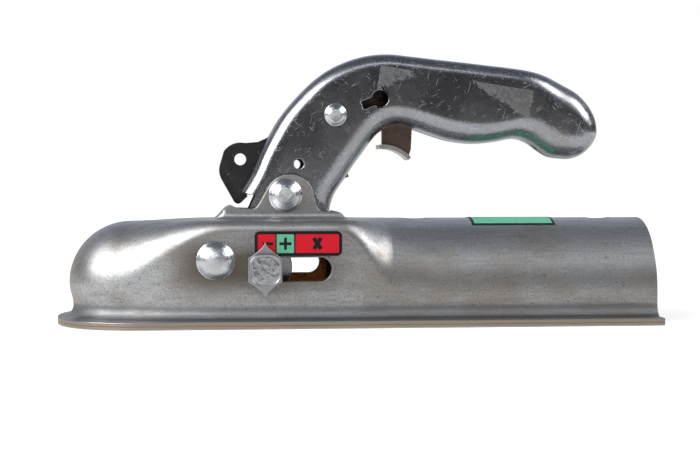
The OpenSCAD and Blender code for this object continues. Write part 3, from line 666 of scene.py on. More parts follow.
def cast_zinc():
    """Die-cast zinc: smooth dull skin, and a coarse, scratched face on the boss."""
    g = Paint("Die-cast zinc")
    front = -OUTSIDE - POINTER_T
    face = g.times(g.ramp(g.distance(XP, SLOT_Z), 5.8, 6.5, 1, 0),
                   g.ramp(g.axes()[1], front - 2, front - 1, 1, 0))
    skin = g.noise(0.7, 3, 0.65)
    lumps = g.times(g.noise(1.7, 5, 0.75, distortion=0.8), face)
    colour = g.layered(
        colours().cast, (g.ramp(lumps, 0.42, 0.62, 0, 0.5), "#5c5e60"),
        (g.times(g.scratches((52, 5, 0.68), (-30, 4, 0.7)), face), "#d9dadb"))
    height = g.plus(lumps, g.times(skin, 0.12))
    return g.finished(colour, g.ramp(skin, 0.3, 0.7, 0.32, 0.4), 1.0, height, 0.25, 0.7)


def vinyl(name, colour):
    """Printed self-adhesive vinyl: slight gloss, a little uneven from the metal under it."""
    g = Paint(name)
    wave = g.noise(2.4, 2, 0.5)
    g.shader.inputs["Specular IOR Level"].default_value = 0.25
    colour = g.layered(colour, (g.ramp(wave, 0.45, 0.75, 0, 0.1), "#3a3a3a"))
    return g.finished(colour, 0.5, 0.0, wave, 0.03, 0.3)


MATERIALS = {}


def material(key):
    """Makes each material once."""
    c = colours()
    makers = {
        "housing": (pressed_zinc,),
        "housing_inside": (pressed_zinc, "Zinc-plated steel, greased", True),
        "handle": (bright_zinc,),
        "jaw_rivet": (rivet_steel, "Jaw rivet steel", XJ, JAW_Z, JAW_HEAD_R, 0.35),
        "handle_rivet": (rivet_steel, "Handle rivet steel", XH, HANDLE_Z, HANDLE_HEAD_R, 1.0),
        "catch_rivet": (rivet_steel, "Catch rivet steel", XC, CATCH_Z, CATCH_HEAD_R, 1.0),
        "turned": (plain_metal, "Bright plated turned steel", c.rivet, "#a7a9ac", 0.24, 0.05, 0.8, 0.04, 0.5),
        "cast": (cast_zinc,),
        "dark": (plain_metal, "Dark passivated steel", c.dark, "#5b4f47", 0.36, 0.06, 1.2, 0.04, 0.5),
        "catch": (catch_steel,),
        "forged": (plain_metal, "Forged steel, oiled", c.forged, "#5a4332", 0.4, 0.08, 1.5, 0.06, 0.6),
        "red": (vinyl, "Red printed vinyl", c.label_red),
        "green": (vinyl, "Green printed vinyl", c.label_green),
        "black": (vinyl, "Black printed vinyl", c.label_black),
    }
    if key not in MATERIALS:
        maker, *settings = makers[key]
        MATERIALS[key] = maker(*settings)
    return MATERIALS[key]


# The flange's edge round the nose is a superellipse: its length, power and steps
NOSE_X, NOSE_POWER, NOSE_STEPS = 42.0, 2.2, 48


def flange_edge(x):
    """Half width of the flange at x."""
    k = clamp01((FRONT + NOSE_X - x) / NOSE_X)
    return FLANGE_HW * (1 - k ** NOSE_POWER) ** (1 / NOSE_POWER)


def nose_edge(a):
    """The flange's edge round the nose, at angle a from the near side."""
    s, c = abs(math.sin(a)), abs(math.cos(a))
    k = (s ** NOSE_POWER + c ** NOSE_POWER) ** (-1 / NOSE_POWER)
    return FRONT + NOSE_X * (1 - k * s), -FLANGE_HW * k * math.cos(a)


def housing_stations():
    """Stations along X from the rear end to the ball's centre, close together where the shape changes."""
    near_rear, near_front = LIP_REAR - 1.6, LIP_FRONT + 1.6
    ends = [(REAR, 0), (BAR_STOP + 2, 7), (RAMP_REAR, 14), (LIP_REAR, 7), (near_rear, 1), (near_front, 10),
            (LIP_FRONT, 1), (RAMP_FRONT, 8), (XB, 24)]
    stations = [REAR]
    for (x0, _), (x1, steps) in zip(ends, ends[1:]):
        stations += [mix(x0, x1, (i + 1) / steps) for i in range(steps)]
    return stations


def housing_sheet():
    """The housing's sheet as a closed solid: half sections down one side, round the nose and up the other."""
    stations = housing_stations()
    ribs = []

    def add_rib(x, a, profile, edge_x, edge_y):
        edge = [Vector((edge_x, edge_y, z)) for z in (0, sizes().sheet)]
        faces = [Vector((x - d * math.sin(a), -d * math.cos(a), z)) for d, z in profile]
        ribs.append(edge + faces + edge[:1])

    for x in stations:
        edge_x = x - FLANGE_HW * math.tan(lean(x))
        add_rib(x, lean(x), section(x), edge_x, -flange_edge(edge_x))
    nose = section(XB)
    last_edge = math.atan2((FRONT + NOSE_X - edge_x) / NOSE_X, flange_edge(edge_x) / FLANGE_HW)
    for i in range(1, NOSE_STEPS):
        k = i / NOSE_STEPS
        add_rib(XB, mix(LEAN, math.pi - LEAN, k), nose, *nose_edge(mix(last_edge, math.pi - last_edge, k)))
    for rib in reversed(ribs[:len(stations)]):
        ribs.append([Vector((p.x, -p.y, p.z)) for p in rib])
    count = len(nose) // 2
    bm = grid(len(ribs), len(ribs[0]), lambda i, j: ribs[i][j], range(2 + count, 1 + 2 * count))
    bmesh.ops.remove_doubles(bm, verts=bm.verts, dist=0.001)
    bmesh.ops.dissolve_degenerate(bm, edges=bm.edges, dist=0.0005)
    middle = [f for f in bm.faces if all(abs(v.co.y) < 0.0005 for v in f.verts)]
    bmesh.ops.delete(bm, geom=middle, context="FACES_ONLY")
    bmesh.ops.edgeloop_fill(bm, edges=[e for e in bm.edges if e.is_boundary])
    bmesh.ops.recalc_face_normals(bm, faces=bm.faces)
    return bm


def ear_trim():
    """What is cut away above the collar: the outline of the ears and lips seen from the side."""
    return ([(REAR, TALL + PANEL_TOP + 20), (REAR, COLLAR_REAR_Z + 8), (LIP_REAR + 1, COLLAR_REAR_Z + 8),
             (LIP_REAR + 1, COLLAR_REAR_Z)]
            + arc(XH + 18.5, COLLAR_REAR_Z + 4, 4, 270, 180, 12)
            + arc(XH + 2.2, HANDLE_Z - 1.8, EAR_R, 2, 147, 40)
            + arc(LIP_FRONT + 9, COLLAR_FRONT_Z + 2.6, 4, 327, 262, 10)
            + [(LIP_FRONT + 3, COLLAR_FRONT_Z - 1.2), (LIP_FRONT, COLLAR_FRONT_Z + 0.2),
               (LIP_FRONT - 1.5, COLLAR_FRONT_Z + 0.2), (LIP_FRONT - 1.5, COLLAR_FRONT_Z + 8),
               (FRONT, COLLAR_FRONT_Z + 8), (FRONT, TALL + PANEL_TOP + 20)])


def round_slot(x0, x1, z, h, steps=14):
    r = h / 2
    return arc(x1 - r, z, r, -90, 90, steps) + arc(x0 + r, z, r, 90, 270, steps)


class COUPLING_OT_housing(bpy.types.Operator):
    """Builds the pressed housing with its collar, slots and holes"""
    bl_idname = "coupling.housing"
    bl_label = "Housing"

    def execute(self, context):
        housing = as_object("housing_pressing", housing_sheet())
        for key in ("housing", "housing_inside"):
            housing.data.materials.append(material(key))
        tools = [
            box((LIP_FRONT, -COLLAR_HW, PANEL_TOP - 10), (LIP_REAR, COLLAR_HW, ABOVE)),
            box((LIP_FRONT - NOTCH_DEPTH, -NOTCH_HW, PANEL_TOP - 10), (LIP_FRONT + 1, NOTCH_HW, ABOVE)),
            plate(ear_trim(), -THROUGH, THROUGH),
            plate(round_slot(SLOT_X0, SLOT_X1, SLOT_Z, SLOT_H), -THROUGH, THROUGH),
        ]
        tools += [bore(x, z, SHANK_HOLE_R, THROUGH) for x, z in ((XJ, JAW_Z), (XH, HANDLE_Z))]
        tools += [moved(upright_rod(BOLT_HOLE_R, BOLT_HOLE_DEPTH), (x, 0, TUBE_TOP)) for x in BOLT_HOLES_X]
        carved(housing, tools)
        finish_piece(housing, "housing", None, ["body_shell"], sizes().housing_edge, 3,
                     chosen=lambda at: at.z < 40 or at.x > REAR - 1 or XH - 16 < at.x < LIP_REAR - 8)
        return {"FINISHED"}


# Side view of the handle: top edge, lower edge and width of each section, as in the part's source
GUIDE = [
    ((-54, 61.5), (-12, 52), 1), ((-49, 69.7), (-9.6, 60), 1), ((-44.7, 79.5), (-4.6, 67.6), 1),
    ((-40.4, 87.9), (-0.2, 74.3), 1), ((-35, 97), (4, 80), 1), ((-27.5, 106.1), (7.5, 84.8), 1),
    ((-18, 115.3), (11, 88.8), 1), ((-8.3, 121.3), (14.5, 91.4), 1), ((3.3, 125.4), (18.8, 92.9), 1),
    ((15, 126.8), (24, 92.5), 1), ((27, 125.8), (30, 90.8), 1), ((38, 124.6), (37, 88.4), 1),
    ((50, 123.4), (46, 85.8), 1), ((62, 122.1), (57, 84.5), 1), ((74, 120.8), (67, 85.2), 1),
    ((85.5, 119.2), (77.5, 87), 1), ((93.5, 117), (84, 85.3), 1), ((101.3, 113.2), (89.5, 81.6), 1),
    ((108.5, 109.2), (94.5, 78.6), 0.99), ((113.8, 104), (99.6, 77.6), 0.97),
    ((116.8, 99), (105, 77.4), 0.9), ((118, 94), (110.6, 79.2), 0.74), ((118.3, 89.4), (115.2, 83.2), 0.42),
    ((117.6, 86.8), (117.2, 86.2), 0.02),
]
HANDLE_W, HANDLE_TOP_R, HANDLE_LOW_R, KNOB_R = 26.0, 7.0, 10.4, 12.8
CHEEK_IN, SLIT_HW = 11.0, 2.7
# Where the grip turns into the knob along X, and the angle at which a section's lower arc starts
KNOB_X, LOW_START = (78.0, 102.0), 282
# Steps between two guides, and those of a section's lower arc, cheek and upper arc
BETWEEN, LOW_ARC, CHEEK, TOP_ARC = 5, 12, 5, 10


def spline(a, b, c, d, k):
    """Catmull-Rom from b to c."""
    bend, twist = 2 * a - 5 * b + 4 * c - d, 3 * b - a - 3 * c + d
    return 0.5 * (2 * b + (c - a) * k + bend * k * k + twist * k ** 3)


def handle_sections():
    """The guide's sections with smooth ones between them, as top (x, z), low (x, z) and width."""
    rows = [(*top, *low, width) for top, low, width in GUIDE]
    fine = []
    for i in range(len(rows) - 1):
        a, b, c, d = rows[max(0, i - 1)], rows[i], rows[i + 1], rows[min(len(rows) - 1, i + 2)]
        for s in range(BETWEEN):
            fine.append([spline(*q, s / BETWEEN) for q in zip(a, b, c, d)])
    return fine + [list(rows[-1])]


def cheek_profile(w, d, knob):
    """Half of a handle section, from the slit to the middle of its top, as (half width, height)."""
    rl = min(mix(HANDLE_LOW_R, KNOB_R, knob) * w * 2 / HANDLE_W, d * 0.48)
    rt = min(mix(HANDLE_TOP_R, KNOB_R, knob) * w * 2 / HANDLE_W, d * 0.45)
    slit = min(SLIT_HW, w * 0.3)
    points = [(slit, 0.0)]
    for i in range(LOW_ARC + 1):
        a = math.radians(mix(LOW_START, 360, i / LOW_ARC))
        points.append((max(slit + 0.02, w - rl + rl * math.cos(a)), rl + rl * math.sin(a)))
    for i in range(1, CHEEK):
        points.append((w, mix(rl, d - rt, i / CHEEK)))
    for i in range(TOP_ARC + 1):
        a = math.radians(90 * i / TOP_ARC)
        points.append((w - rt + rt * math.cos(a), d - rt + rt * math.sin(a)))
    return points + [((w - rt) * 0.5, d), (0.0, d)]


def handle_sheet():
    sections = []
    for tx, tz, lx, lz, share in handle_sections():
        low, up = Vector((lx, 0, lz)), Vector((tx - lx, 0, tz - lz))
        d = max(up.length, 0.05)
        up.normalize()
        half = cheek_profile(max(HANDLE_W / 2 * share, 0.1), d, along(tx, *KNOB_X))
        near = [low + up * h + Vector((0, -w, 0)) for w, h in half]
        far = [low + up * h + Vector((0, w, 0)) for w, h in reversed(half[:-1])]
        sections.append(near + far)
    bm = grid(len(sections), len(sections[0]), lambda i, j: sections[i][j])
    return tidy(bm)


FORK_R = 14.0


def fork_outline():
    """A cheek's lower end with its round foot."""
    foot = arc(XP, SLOT_Z, FORK_R, 200, 380, 28)
    return (shifted(XH, HANDLE_Z, [(-16.6, -6.4), (-19, -20)]) + foot
            + shifted(XH, HANDLE_Z, [(15, -17), (21.4, -7.8), (15, -2), (10, 8), (-9, 8), (-13.6, 0.1)]))


class COUPLING_OT_handle(bpy.types.Operator):
    """Builds the handle's folded sheet with its fork, slit, keyhole and holes"""
    bl_idname = "coupling.handle"
    bl_label = "Handle"

    def execute(self, context):
        outside, inside = -HANDLE_W / 2 - 1, -CHEEK_IN + 1
        handle = walled(as_object("handle_pressing", handle_sheet()), sizes().handle_sheet)
        forks = [plate(fork_outline(), y0, y0 + sizes().handle_sheet) for y0 in (-HANDLE_W / 2, CHEEK_IN)]
        carved(handle, forks, "UNION")
        # The lever slot points from the handle's rivet to the cross bolt
        drop = HANDLE_Z - SLOT_Z
        lever_slot = plate(round_slot(drop - 6, math.hypot(XP + TRAVEL - XH, drop) + 6, 0, 11.2),
                           -HANDLE_THROUGH, HANDLE_THROUGH)
        moved(lever_slot, (XH, 0, HANDLE_Z), math.radians(90) + math.atan2(XH - XP, drop))
        key_x, key_z = XC + 21.2, CATCH_Z + 7.75
        key_slot = moved(box((0, outside, -1.9), (9.2, inside, 1.9)), (key_x, 0, key_z), -math.radians(202))
        slit = plate(shifted(XH, HANDLE_Z, [
            (-30, -12), (-12, -12), (-12, 6), (-2, 24), (2, 34), (-12, 44), (-40, 20)]), -2.2, 2.2)
        carved(handle, [
            lever_slot, key_slot, rod(key_x, key_z, 3.9, outside, inside),
            bore(XH + 6.6, HANDLE_Z + 14.7, 2.3, HANDLE_THROUGH), slit,
            bore(XH, HANDLE_Z, SHANK_HOLE_R, HANDLE_THROUGH), bore(XC, CATCH_Z, CATCH_HOLE_R, HANDLE_THROUGH),
        ])
        finish_piece(handle, "handle", "handle", ["handle_shell"],
                     sizes().handle_edge, chosen=lambda at: -32 < at.x < 90 and abs(at.y) > CHEEK_IN - 0.1)
        return {"FINISHED"}


HEAD_STEPS = 18


def rivet_profile(shank_r, head_r, head_h, half, dimple=0.0):
    """A rivet with a domed head at each end, and a small hollow in the middle of each dome."""
    dome = (head_r ** 2 + head_h ** 2) / (2 * head_h)
    head = []
    for i in range(HEAD_STEPS + 1):
        r = head_r * i / HEAD_STEPS
        y = head_h - dome + math.sqrt(dome * dome - r * r)
        y -= dimple * math.exp(-(r / (0.28 * head_r)) ** 2)
        head.append((r, half + y))
    head = head[:-1] + [(head_r, half + 0.25), (head_r - 0.2, half), (shank_r, half)]
    return head + [(r, -y) for r, y in reversed(head)]


class COUPLING_OT_rivets(bpy.types.Operator):
    """Builds the rivets of jaw, handle and catch"""
    bl_idname = "coupling.rivets"
    bl_label = "Rivets"

    def execute(self, context):
        rivets = [
            ("jaw", "housing", XJ, JAW_Z, (5, JAW_HEAD_R, 4.4, PANEL_HW)),
            ("handle", "housing", XH, HANDLE_Z, (5, HANDLE_HEAD_R, 4, EAR_OUT)),
            ("catch", "handle", XC, CATCH_Z, (3, CATCH_HEAD_R, 2.7, HANDLE_W / 2, 0.2)),
        ]
        for name, body, x, z, shape in rivets:
            rivet = as_object(f"{name}_rivet_domed", turned(rivet_profile(*shape), x, z))
            node = f"{name}_rivet"
            finish_piece(rivet, body, node, [node], angle=50)
        return {"FINISHED"}


# The trigger's pad is bent round this line, seen from the catch's rivet
PAD_AT = (23.2, -32.2)


def catch_outline():
    """The catch from its hook round the notch and the trigger back to the hook, seen from its rivet."""
    return (arc(-44.3, -22.5, 9.6, 78, 145, 14) + arc(-45.2, -26, 9.2, 165, 208, 10)
            + arc(-45.5, -39.8, 2.2, 205, 320, 10)
            + [(-40.9, -38.4), (-42.6, -35), (-34, -24), (-24, -15), (-10, -8), (0, -7.4), (12, -5),
               (23.4, -6), (23.4, -14.2)]
            + arc(*PAD_AT, 18, 86, 44, 12)
            + [(37.4, -16), (37.9, -5.6), (33, 1), (20, 8), (4, 8), (-8, 3.6), (-20, -5), (-31.6, -10.6),
               (-36, -12.6)])


class COUPLING_OT_catch(bpy.types.Operator):
    """Builds the safety catch with its padlock hole and finger pad"""
    bl_idname = "coupling.catch"
    bl_label = "Safety catch"

    def execute(self, context):
        catch = as_object("catch_punched", plate(shifted(XC, CATCH_Z, catch_outline()), -1.5, 1.5))
        pad = arc(*PAD_AT, 18.4, 96, 42, 24) + arc(*PAD_AT, 16.4, 42, 96, 24)
        carved(catch, [plate(shifted(XC, CATCH_Z, pad), -6.5, 6.5)], "UNION")
        carved(catch, [bore(XC, CATCH_Z, CATCH_HOLE_R, 5), bore(XC - 44.4, CATCH_Z - 20.85, 2.8, 5)])
        finish_piece(catch, "catch", "catch", ["catch_plate"], sizes().plate_edge)
        return {"FINISHED"}


class COUPLING_OT_springs(bpy.types.Operator):
    """Winds the main spring round the handle rivet and the catch's spring"""
    bl_idname = "coupling.springs"
    bl_label = "Springs"

    def execute(self, context):
        # Two coils with the catch's gap between them, joined behind the rivet
        coil, half, gap = 9.7, 7.6, 3.3
        path = [(XH + 16, -half, HANDLE_Z - 8.5)]
        for a0, a1, y0, y1 in ((300, -270, -half, -gap), (-270, -450, -gap, gap), (-450, -780, gap, half)):
            steps = (a0 - a1) // 10
            for i in range(steps):
                a = math.radians(mix(a0, a1, i / steps))
                path.append((XH + coil * math.cos(a), mix(y0, y1, i / steps), HANDLE_Z + coil * math.sin(a)))
        path += [(XH + 10.5, 7.2, HANDLE_Z - 4.5), (XH + 14, 6, HANDLE_Z + 2), (XH + 22, 2, HANDLE_Z + 7),
                 (XH + 31, 0, HANDLE_Z + 10)]
        self.wind("main_spring", swept(path, 1.35))
        x, z0, z1, coil, turns, steps = XC + 15, CATCH_Z + 8.9, CATCH_Z + 23.8, 3.2, 7, 24
        path = [(x + coil * math.cos(math.tau * i / steps), coil * math.sin(math.tau * i / steps),
                 mix(z0, z1, i / (turns * steps))) for i in range(turns * steps + 1)]
        spring = self.wind("catch_spring", swept(path, 0.6, 8))
        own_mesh(spring)
        return {"FINISHED"}

    def wind(self, node, bm):
        spring = as_object(f"{node}_wire", bm)
        finish_piece(spring, "handle", "dark", [node], angle=60)
        return spring


# The bolt's washers and heads start this far out; the pointer's leaf and its boss
OUTSIDE = 36.6
POINTER_T, TIP, SIDE_Z = 3.2, 12.7, 5.46
BOSS_HW, BOSS_T, BOSS_RIM = 7.3, 3.6, 0.7
BOSS_POWER, BOSS_TURN_STEPS = 2.9, 96


def pointer_outline():
    """The leaf: hollow shoulders from both tips to straight sides."""
    half_w = BOSS_HW + 0.4
    shoulder = [(half_w * k, TIP - (TIP - SIDE_Z) * k ** 0.62) for k in (i / 14 for i in range(15))]
    right = shoulder + [(x, -z) for x, z in reversed(shoulder)]
    return right + [(-x, z) for x, z in reversed(right[1:-1])]


def pointer_boss(y_back, y_face):
    """The boss: a rounded square with a thin rim round a coarse, sunk face."""
    inner = 1 - BOSS_RIM / BOSS_HW
    sunk = [inner * 0.97 * k / 16 for k in range(17)]
    profile = [(k, 0.45) for k in sunk]
    profile += [(inner, 0.1), (inner + 0.02, 0), (0.97, 0), (1, 0.35), (1, None), (0, None)]

    def place(i, j):
        share, depth = profile[j]
        a = math.tau * i / BOSS_TURN_STEPS
        c, s = math.cos(a), math.sin(a)
        r = BOSS_HW * share * (abs(c) ** BOSS_POWER + abs(s) ** BOSS_POWER) ** (-1 / BOSS_POWER)
        x, z = XP + r * c, SLOT_Z + r * s
        if depth is None:
            return Vector((x, y_back, z))
        if 0 < j < len(sunk):
            depth += 0.16 * fractal(Vector((x, z, 3)) * 0.55, 1.0, 2.0, 4)
        return Vector((x, y_face + depth, z))

    return tidy(grid(BOSS_TURN_STEPS + 1, len(profile), place))


class COUPLING_OT_bolt(bpy.types.Operator):
    """Builds the cross bolt and the cast pointer on its near end"""
    bl_idname = "coupling.bolt"
    bl_label = "Cross bolt and pointer"

    def execute(self, context):
        head_r, head_out = 8.7, OUTSIDE + 4.0
        back, front = -OUTSIDE, -OUTSIDE - POINTER_T
        profile = [(0, head_out), (head_r - 1.2, head_out), (head_r, head_out - 1), (head_r, OUTSIDE),
                   (5, OUTSIDE), (5, front), (0, front)]
        bolt = as_object("cross_bolt_turned", turned(profile, XP, SLOT_Z))
        finish_piece(bolt, "bolt", "forged", ["cross_bolt"], 0.3)
        pointer = as_object("pointer_cast", plate(shifted(XP, SLOT_Z, pointer_outline()), front, back))
        carved(pointer, [pointer_boss(front + 1, front - BOSS_T)], "UNION")
        carved(pointer, [rod(XP, SLOT_Z, SHANK_HOLE_R, front - 0.05, back + 1)])
        finish_piece(pointer, "bolt", "cast", ["pointer"], 0.35)
        return {"FINISHED"}


# The slot label's middle, size and border, and how far its print and its signs stand out
LABEL_X, LABEL_Z = XP + 15.3, SLOT_Z + 5.4 + 6.4
LABEL_W, LABEL_H, LABEL_T, BORDER = 39.9, 11.3, 0.3, 1.4
PRINT_T, SIGN_T = 0.04, 0.08


def rounded(x0, x1, z0, z1, r, steps=8):
    """A rectangle with round corners."""
    return (arc(x1 - r, z1 - r, r, 0, 90, steps) + arc(x0 + r, z1 - r, r, 90, 180, steps)
            + arc(x0 + r, z0 + r, r, 180, 270, steps) + arc(x1 - r, z0 + r, r, 270, 360, steps))


def sided(bm, tag):
    """A piece drawn for the near side, or mirrored to the far one."""
    if tag == "far":
        bmesh.ops.scale(bm, verts=bm.verts, vec=(1, -1, 1))
        bmesh.ops.reverse_faces(bm, faces=bm.faces)
    return bm


class COUPLING_OT_labels(bpy.types.Operator):
    """Builds the slot labels with their cells and signs, and the label on the tube"""
    bl_idname = "coupling.labels"
    bl_label = "Labels"

    def execute(self, context):
        x0, x1 = LABEL_X - LABEL_W / 2, LABEL_X + LABEL_W / 2
        z0, z1 = LABEL_Z - LABEL_H / 2, LABEL_Z + LABEL_H / 2
        face = -PANEL_HW - LABEL_T
        cells = [("minus_cell", "red", x0 + BORDER, x0 + 9.4), ("plus_cell", "green", x0 + 10, x0 + 17.9),
                 ("cross_cell", "red", x0 + 18.6, x1 - BORDER)]
        # Each sign's place along the label, and its bars' half width, half height and turn in degrees
        signs = [("minus_sign", x0 + 6.1, [(2.3, 0.65, 0)]),
                 ("plus_sign", x0 + 14, [(2.75, 0.65, 0), (0.65, 2.75, 0)]),
                 ("cross_sign", x0 + 28.6, [(0.95, 3.0, -33), (0.95, 3.0, 33)])]
        for tag in ("near", "far"):
            outline = rounded(x0, x1, z0, z1, 2.3)
            backing = as_object(f"slot_label_backing_{tag}", sided(plate(outline, face, -PANEL_HW), tag))
            finish_piece(backing, "housing", "black", [f"slot_label_{tag}"])
            for name, key, left, right in cells:
                outline = rounded(left, right, z0 + BORDER, z1 - BORDER, 0.35, 3)
                cell = as_object(f"{name}_{tag}", sided(plate(outline, face - PRINT_T, face + 0.05), tag))
                finish_piece(cell, "housing", key)
            for name, x, bars in signs:
                arms = []
                for w, h, turn in bars:
                    arm = box((-w, face - SIGN_T, -h), (w, face + 0.02, h))
                    arms.append(sided(moved(arm, (x, 0, LABEL_Z), math.radians(turn)), tag))
                sign = carved(as_object(f"{name}_{tag}", arms[0]), arms[1:], "UNION")
                finish_piece(sign, "housing", "black")
        self.top_label()
        return {"FINISHED"}

    def top_label(self):
        """Curved label on the tube: black ground with a green field on it."""
        start, length, half = BAR_STOP + 41.5, 40.0, 25.0

        def curved(r, xa, xb, spread, steps=28):
            def place(i, j):
                a = math.radians(mix(-spread, spread, i / steps))
                return Vector((mix(xa, xb, j), r * math.sin(a), BAR_Z + r * math.cos(a)))
            bm = grid(steps + 1, 2, place)
            bmesh.ops.recalc_face_normals(bm, faces=bm.faces)
            if sum(f.normal.z for f in bm.faces) < 0:
                bmesh.ops.reverse_faces(bm, faces=bm.faces)
            return bm

        for name, key, lift, inset, trim, thick, nodes in (
                ("ground", "black", -0.05, 0, 0, LABEL_T - 0.06, ["top_label"]),
                ("field", "green", 0, 1.1, 1.9, 0.1, [])):
            sheet = curved(TUBE_R + LABEL_T + lift, start + inset, start + length - inset, half - trim)
            layer = walled(as_object(f"top_label_{name}", sheet), thick)
            finish_piece(layer, "housing", key, nodes)


class COUPLING_OT_small_parts(bpy.types.Operator):
    """Gives the jaw, sleeves, rollers and washers their metals"""
    bl_idname = "coupling.small_parts"
    bl_label = "Jaw and small parts"

    def execute(self, context):
        finishes = {"ball_jaw": "forged"}
        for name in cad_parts:
            if name.endswith(("_sleeve", "_sleeve_near", "_sleeve_far")):
                finishes[name] = "dark"
            if "roller" in name or "washer" in name:
                finishes[name] = "turned"
        for name, key in finishes.items():
            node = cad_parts[name]
            node.data.materials.clear()
            node.data.materials.append(material(key))
            weld = node.modifiers.new("weld", "WELD")
            weld.merge_threshold = 1e-6
            node.data.shade_smooth()
            round_edges(node, 0.25, 2, 40)
        return {"FINISHED"}


CAMERA_AT = Vector((-79.3, -740.0, 67.1)) * MM
CAMERA_AZIMUTH, CAMERA_PITCH, CAMERA_LENS = 6.0, 1.98, 79.71

# How bright metal sees the room at the horizon, its colour there, and where the pale table ends in metres
HORIZON, WARM = 0.04, "#fff0e4"
TABLE_FRONT = (-0.85, -0.35)
# Half width and height of the floor in metres
FLOOR_HW, FLOOR_Z = 4.0, -0.0002

# Soft lamps: azimuth from the camera's side towards +X, elevation, width and height in metres, and watts
SOFTBOXES = {
    "left_softbox": (-56, 32, 1.3, 0.9, 28),
    "right_softbox": (75, 34, 0.65, 0.7, 10),
    "top_softbox": (0, 43, 1.0, 0.25, 1.7),
}
LAMP_AWAY, LAMP_TARGET = 1.5, Vector((0, 0, 0.06))


def aim(thing, at, target):
    thing.location = at
    thing.rotation_mode = "QUATERNION"
    thing.rotation_quaternion = (target - at).to_track_quat("-Z", "Y")


def softbox(name, azimuth, elevation, width, height, watts):
    lamp = bpy.data.lights.new(name, "AREA")
    lamp.shape, lamp.size, lamp.size_y, lamp.energy = "RECTANGLE", width, height, watts
    thing = bpy.data.objects.new(name, lamp)
    bpy.context.scene.collection.objects.link(thing)
    a, e = math.radians(azimuth), math.radians(elevation)
    back = Vector((math.sin(a) * math.cos(e), -math.cos(a) * math.cos(e), math.sin(e)))
    aim(thing, LAMP_TARGET + back * LAMP_AWAY, LAMP_TARGET)
    thing.visible_camera = False


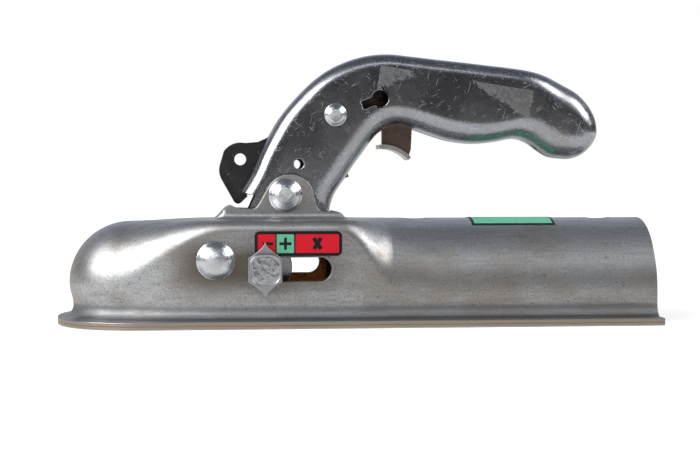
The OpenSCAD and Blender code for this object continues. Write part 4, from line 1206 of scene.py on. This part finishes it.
class COUPLING_OT_stage(bpy.types.Operator):
    """Sets up the camera, the pale floor, the backdrop and the soft lamps"""
    bl_idname = "coupling.stage"
    bl_label = "Stage"

    def execute(self, context):
        scene = context.scene
        scene.view_settings.view_transform = "Standard"
        camera = bpy.data.objects.new("camera", bpy.data.cameras.new("camera"))
        scene.collection.objects.link(camera)
        camera.data.sensor_width, camera.data.lens = 36.0, CAMERA_LENS
        camera.data.clip_start, camera.data.clip_end = 0.01, 50
        a, e = math.radians(CAMERA_AZIMUTH), math.radians(CAMERA_PITCH)
        look = Vector((math.sin(a) * math.cos(e), math.cos(a) * math.cos(e), -math.sin(e)))
        aim(camera, CAMERA_AT, CAMERA_AT + look)
        scene.camera = camera
        self.ground()
        self.world()
        for name, lamp in SOFTBOXES.items():
            softbox(name, *lamp)
        return {"FINISHED"}

    def ground(self):
        """Pale matt floor: it takes the object's shadow, and looks white to the camera and pale to metal."""
        floor_bm = bmesh.new()
        bmesh.ops.create_grid(floor_bm, x_segments=1, y_segments=1, size=FLOOR_HW)
        floor = as_object("floor", moved(floor_bm, (0, 0, FLOOR_Z)))
        card = bpy.data.materials.new("Pale floor card")
        g = Graph(card)
        place = g.add("TexCoord").outputs["Object"]
        deep = g.add("SeparateXYZ", {0: place}).outputs[1]
        away = g.vector("LENGTH", place, {})["Value"]
        far = g.ramp(away, 0.25, 1.0)
        path = g.add("LightPath").outputs
        to_camera = g.times(path["Is Camera Ray"], g.ramp(far, 0, 1, 0.5, 1.0))
        mirrored = g.maths("MAXIMUM", path["Is Glossy Ray"], path["Is Transmission Ray"])
        to_metal = g.times(mirrored, g.ramp(far, 0, 1, 0.25, 0.6))
        matt = g.add("BsdfDiffuse", {"Color": (0.8, 0.79, 0.77, 1)})
        glow = g.add("Emission", {
            "Color": (1, 0.985, 0.96, 1), "Strength": g.plus(to_camera, to_metal)})
        both = g.add("AddShader", {0: matt.outputs[0], 1: glow.outputs[0]})
        dim = g.add("Emission", {"Color": linear(WARM), "Strength": HORIZON})
        beyond = g.times(mirrored, g.ramp(deep, *TABLE_FRONT, 1, 0))
        seen = g.add("MixShader", {0: beyond, 1: both.outputs[0], 2: dim.outputs[0]})
        g.add("OutputMaterial", {"Surface": seen.outputs[0]})
        floor.data.materials.append(card)

    def world(self):
        """White to the camera; to everything else a dim room, lighter above and behind the object."""
        world = bpy.data.worlds.new("studio")
        bpy.context.scene.world = world
        g = Graph(world)
        place = g.add("TexCoord").outputs["Generated"]
        towards = g.add("SeparateXYZ", {0: place}).outputs
        above = g.ramp(towards[2], 0.05, 0.75, HORIZON, 0.2)
        behind = g.ramp(towards[1], 0.3, 0.95, 0, 0.7)
        tint = g.layered(linear(WARM), (g.ramp(towards[2], 0.05, 0.45), "#e0ebff"))
        room = g.add("Background", {"Color": tint, "Strength": g.plus(above, behind)})
        white = g.add("Background", {"Color": (1, 1, 1, 1), "Strength": 1.0})
        seen = g.add("LightPath").outputs["Is Camera Ray"]
        mixed = g.add("MixShader", {0: seen, 1: room.outputs[0], 2: white.outputs[0]})
        g.add("OutputWorld", {"Surface": mixed.outputs[0]})


class COUPLING_PT_panel(bpy.types.Panel):
    """Lists the pieces of the coupling head"""
    bl_idname = "COUPLING_PT_panel"
    bl_label = "Coupling Head"
    bl_space_type = "VIEW_3D"
    bl_region_type = "UI"
    bl_category = "Coupling"

    def draw(self, context):
        for group in (context.scene.coupling_sizes, context.scene.coupling_colours):
            for key in group.bl_rna.properties.keys():
                if key not in ("rna_type", "name"):
                    self.layout.prop(group, key)
        for operator in OPERATORS:
            self.layout.operator(operator.bl_idname)


OPERATORS = (
    COUPLING_OT_stage, COUPLING_OT_housing, COUPLING_OT_handle, COUPLING_OT_rivets, COUPLING_OT_catch,
    COUPLING_OT_springs, COUPLING_OT_bolt, COUPLING_OT_labels, COUPLING_OT_small_parts,
)
CLASSES = (CouplingSizes, CouplingColours, *OPERATORS, COUPLING_PT_panel)


def register():
    for cls in CLASSES:
        bpy.utils.register_class(cls)
    bpy.types.Scene.coupling_sizes = bpy.props.PointerProperty(type=CouplingSizes)
    bpy.types.Scene.coupling_colours = bpy.props.PointerProperty(type=CouplingColours)


def unregister():
    del bpy.types.Scene.coupling_colours
    del bpy.types.Scene.coupling_sizes
    for cls in reversed(CLASSES):
        bpy.utils.unregister_class(cls)


def main():
    register()
    bpy.ops.coupling.stage()
    bpy.ops.coupling.housing()
    bpy.ops.coupling.handle()
    bpy.ops.coupling.rivets()
    bpy.ops.coupling.catch()
    bpy.ops.coupling.springs()
    bpy.ops.coupling.bolt()
    bpy.ops.coupling.labels()
    bpy.ops.coupling.small_parts()


if __name__ == "__main__":
    main()
